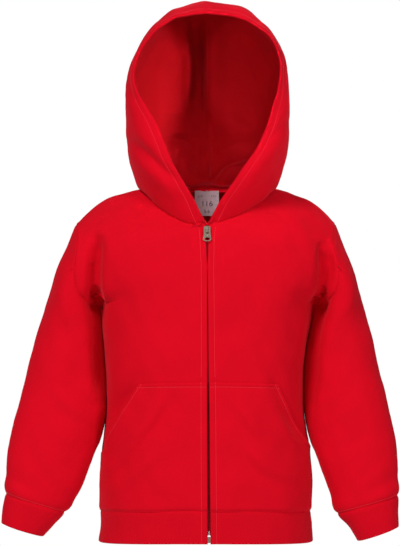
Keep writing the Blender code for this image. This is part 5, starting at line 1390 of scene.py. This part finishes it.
def make_light(name, place, target, size, watts, spread):
    light = bpy.data.lights.new(name, "AREA")
    light.shape, light.size, light.energy = "DISK", size, watts
    light.spread = math.radians(spread)
    holder = bpy.data.objects.new(name, light)
    holder.location = place
    holder.rotation_euler = (Vector(target) - holder.location).to_track_quat("-Z", "Y").to_euler()
    bpy.context.scene.collection.objects.link(holder)
    receivers = bpy.data.collections.new(name + "_receivers")
    for side_name in SIDE_NAMES.values():
        receivers.objects.link(bpy.data.objects[f"hood_lining_{side_name}_cloth"])
    for item in receivers.collection_objects:
        item.light_linking.link_state = "INCLUDE" if name in LINING_LIGHTS else "EXCLUDE"
    holder.light_linking.receiver_collection = receivers


def make_studio():
    camera = bpy.data.cameras.new("camera")
    camera.lens, camera.sensor_width = LENS, SENSOR
    holder = bpy.data.objects.new("camera", camera)
    holder.location = CAMERA_AT
    holder.rotation_euler = (math.radians(90), 0, 0)
    bpy.context.scene.collection.objects.link(holder)
    bpy.context.scene.camera = holder
    for name, settings in LIGHTS.items():
        make_light(name, *settings)

    world = bpy.data.worlds.new("studio")
    bpy.context.scene.world = world
    world.use_nodes = True
    nodes, links = world.node_tree.nodes, world.node_tree.links
    lit, seen, mix = nodes["Background"], nodes.new("ShaderNodeBackground"), nodes.new("ShaderNodeMixShader")
    for background, strength in ((lit, WORLD_LIGHT), (seen, 1.0)):
        background.inputs["Color"].default_value = WHITE
        background.inputs["Strength"].default_value = strength
    links.new(nodes.new("ShaderNodeLightPath").outputs["Is Camera Ray"], mix.inputs["Fac"])
    links.new(lit.outputs[0], mix.inputs[1])
    links.new(seen.outputs[0], mix.inputs[2])
    links.new(mix.outputs[0], nodes["World Output"].inputs["Surface"])
    bpy.context.scene.view_settings.view_transform = "Standard"
    make_floor()


def make_floor():
    """A plain pale disc under the garment, well below it, that fades out at its rim."""
    mesh = bpy.data.meshes.new("floor")
    bm = bmesh.new()
    bmesh.ops.create_circle(bm, cap_ends=True, segments=96, radius=FLOOR_RADIUS)
    bm.to_mesh(mesh)
    bm.free()
    floor = bpy.data.objects.new("floor", mesh)
    floor.location = (0, 0, FLOOR_Z)
    bpy.context.scene.collection.objects.link(floor)
    m = Nodes("pale_floor")
    place = m.place("Object")
    length = m.add("ShaderNodeVectorMath", "Value", {0: place}, operation="LENGTH")
    mesh.materials.append(m.shade({
        "Base Color": m.ramp(m.noise(place, 1.2), (0.90, 0.90, 0.90, 1), (0.93, 0.93, 0.93, 1)),
        "Alpha": m.stretch(length, 1.0, 0.0, **{"From Min": FLOOR_FADE[0], "From Max": FLOOR_FADE[1]}),
        "Roughness": 0.9,
    }))


# ---- the whole ----
def build():
    materials = make_materials()
    panels = shell_panels()
    groups = shared_points(list(panels.values()))
    share_normals(groups)
    shape_shell(panels)
    outers = make_shell(panels, groups, materials)
    hoods = {side: panels["hood_" + name] for side, name in SIDE_NAMES.items()}
    for side, panel in hoods.items():
        make_lining(side, panel, materials)
    for side, name in SIDE_NAMES.items():
        pocket = pocket_panel(side, panels["front_" + name])
        outers[pocket.name], inner = pocket.layers(POCKET_CLOTH)
        panels[pocket.name] = pocket
        cloth_piece(pocket.name, outers[pocket.name], inner, pocket, materials["cloth"])
    make_neck_tape(hoods, materials)
    make_label(materials)
    for side in SIDE_NAMES:
        make_zip_tape(side, materials)
        make_teeth(side, materials)
    make_all_stitching(panels, outers, materials["thread"])
    for node in ("zip_slider", "zip_pull", "zip_box"):
        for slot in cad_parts[node].material_slots:
            slot.material = materials["nickel"]
    make_studio()


build()
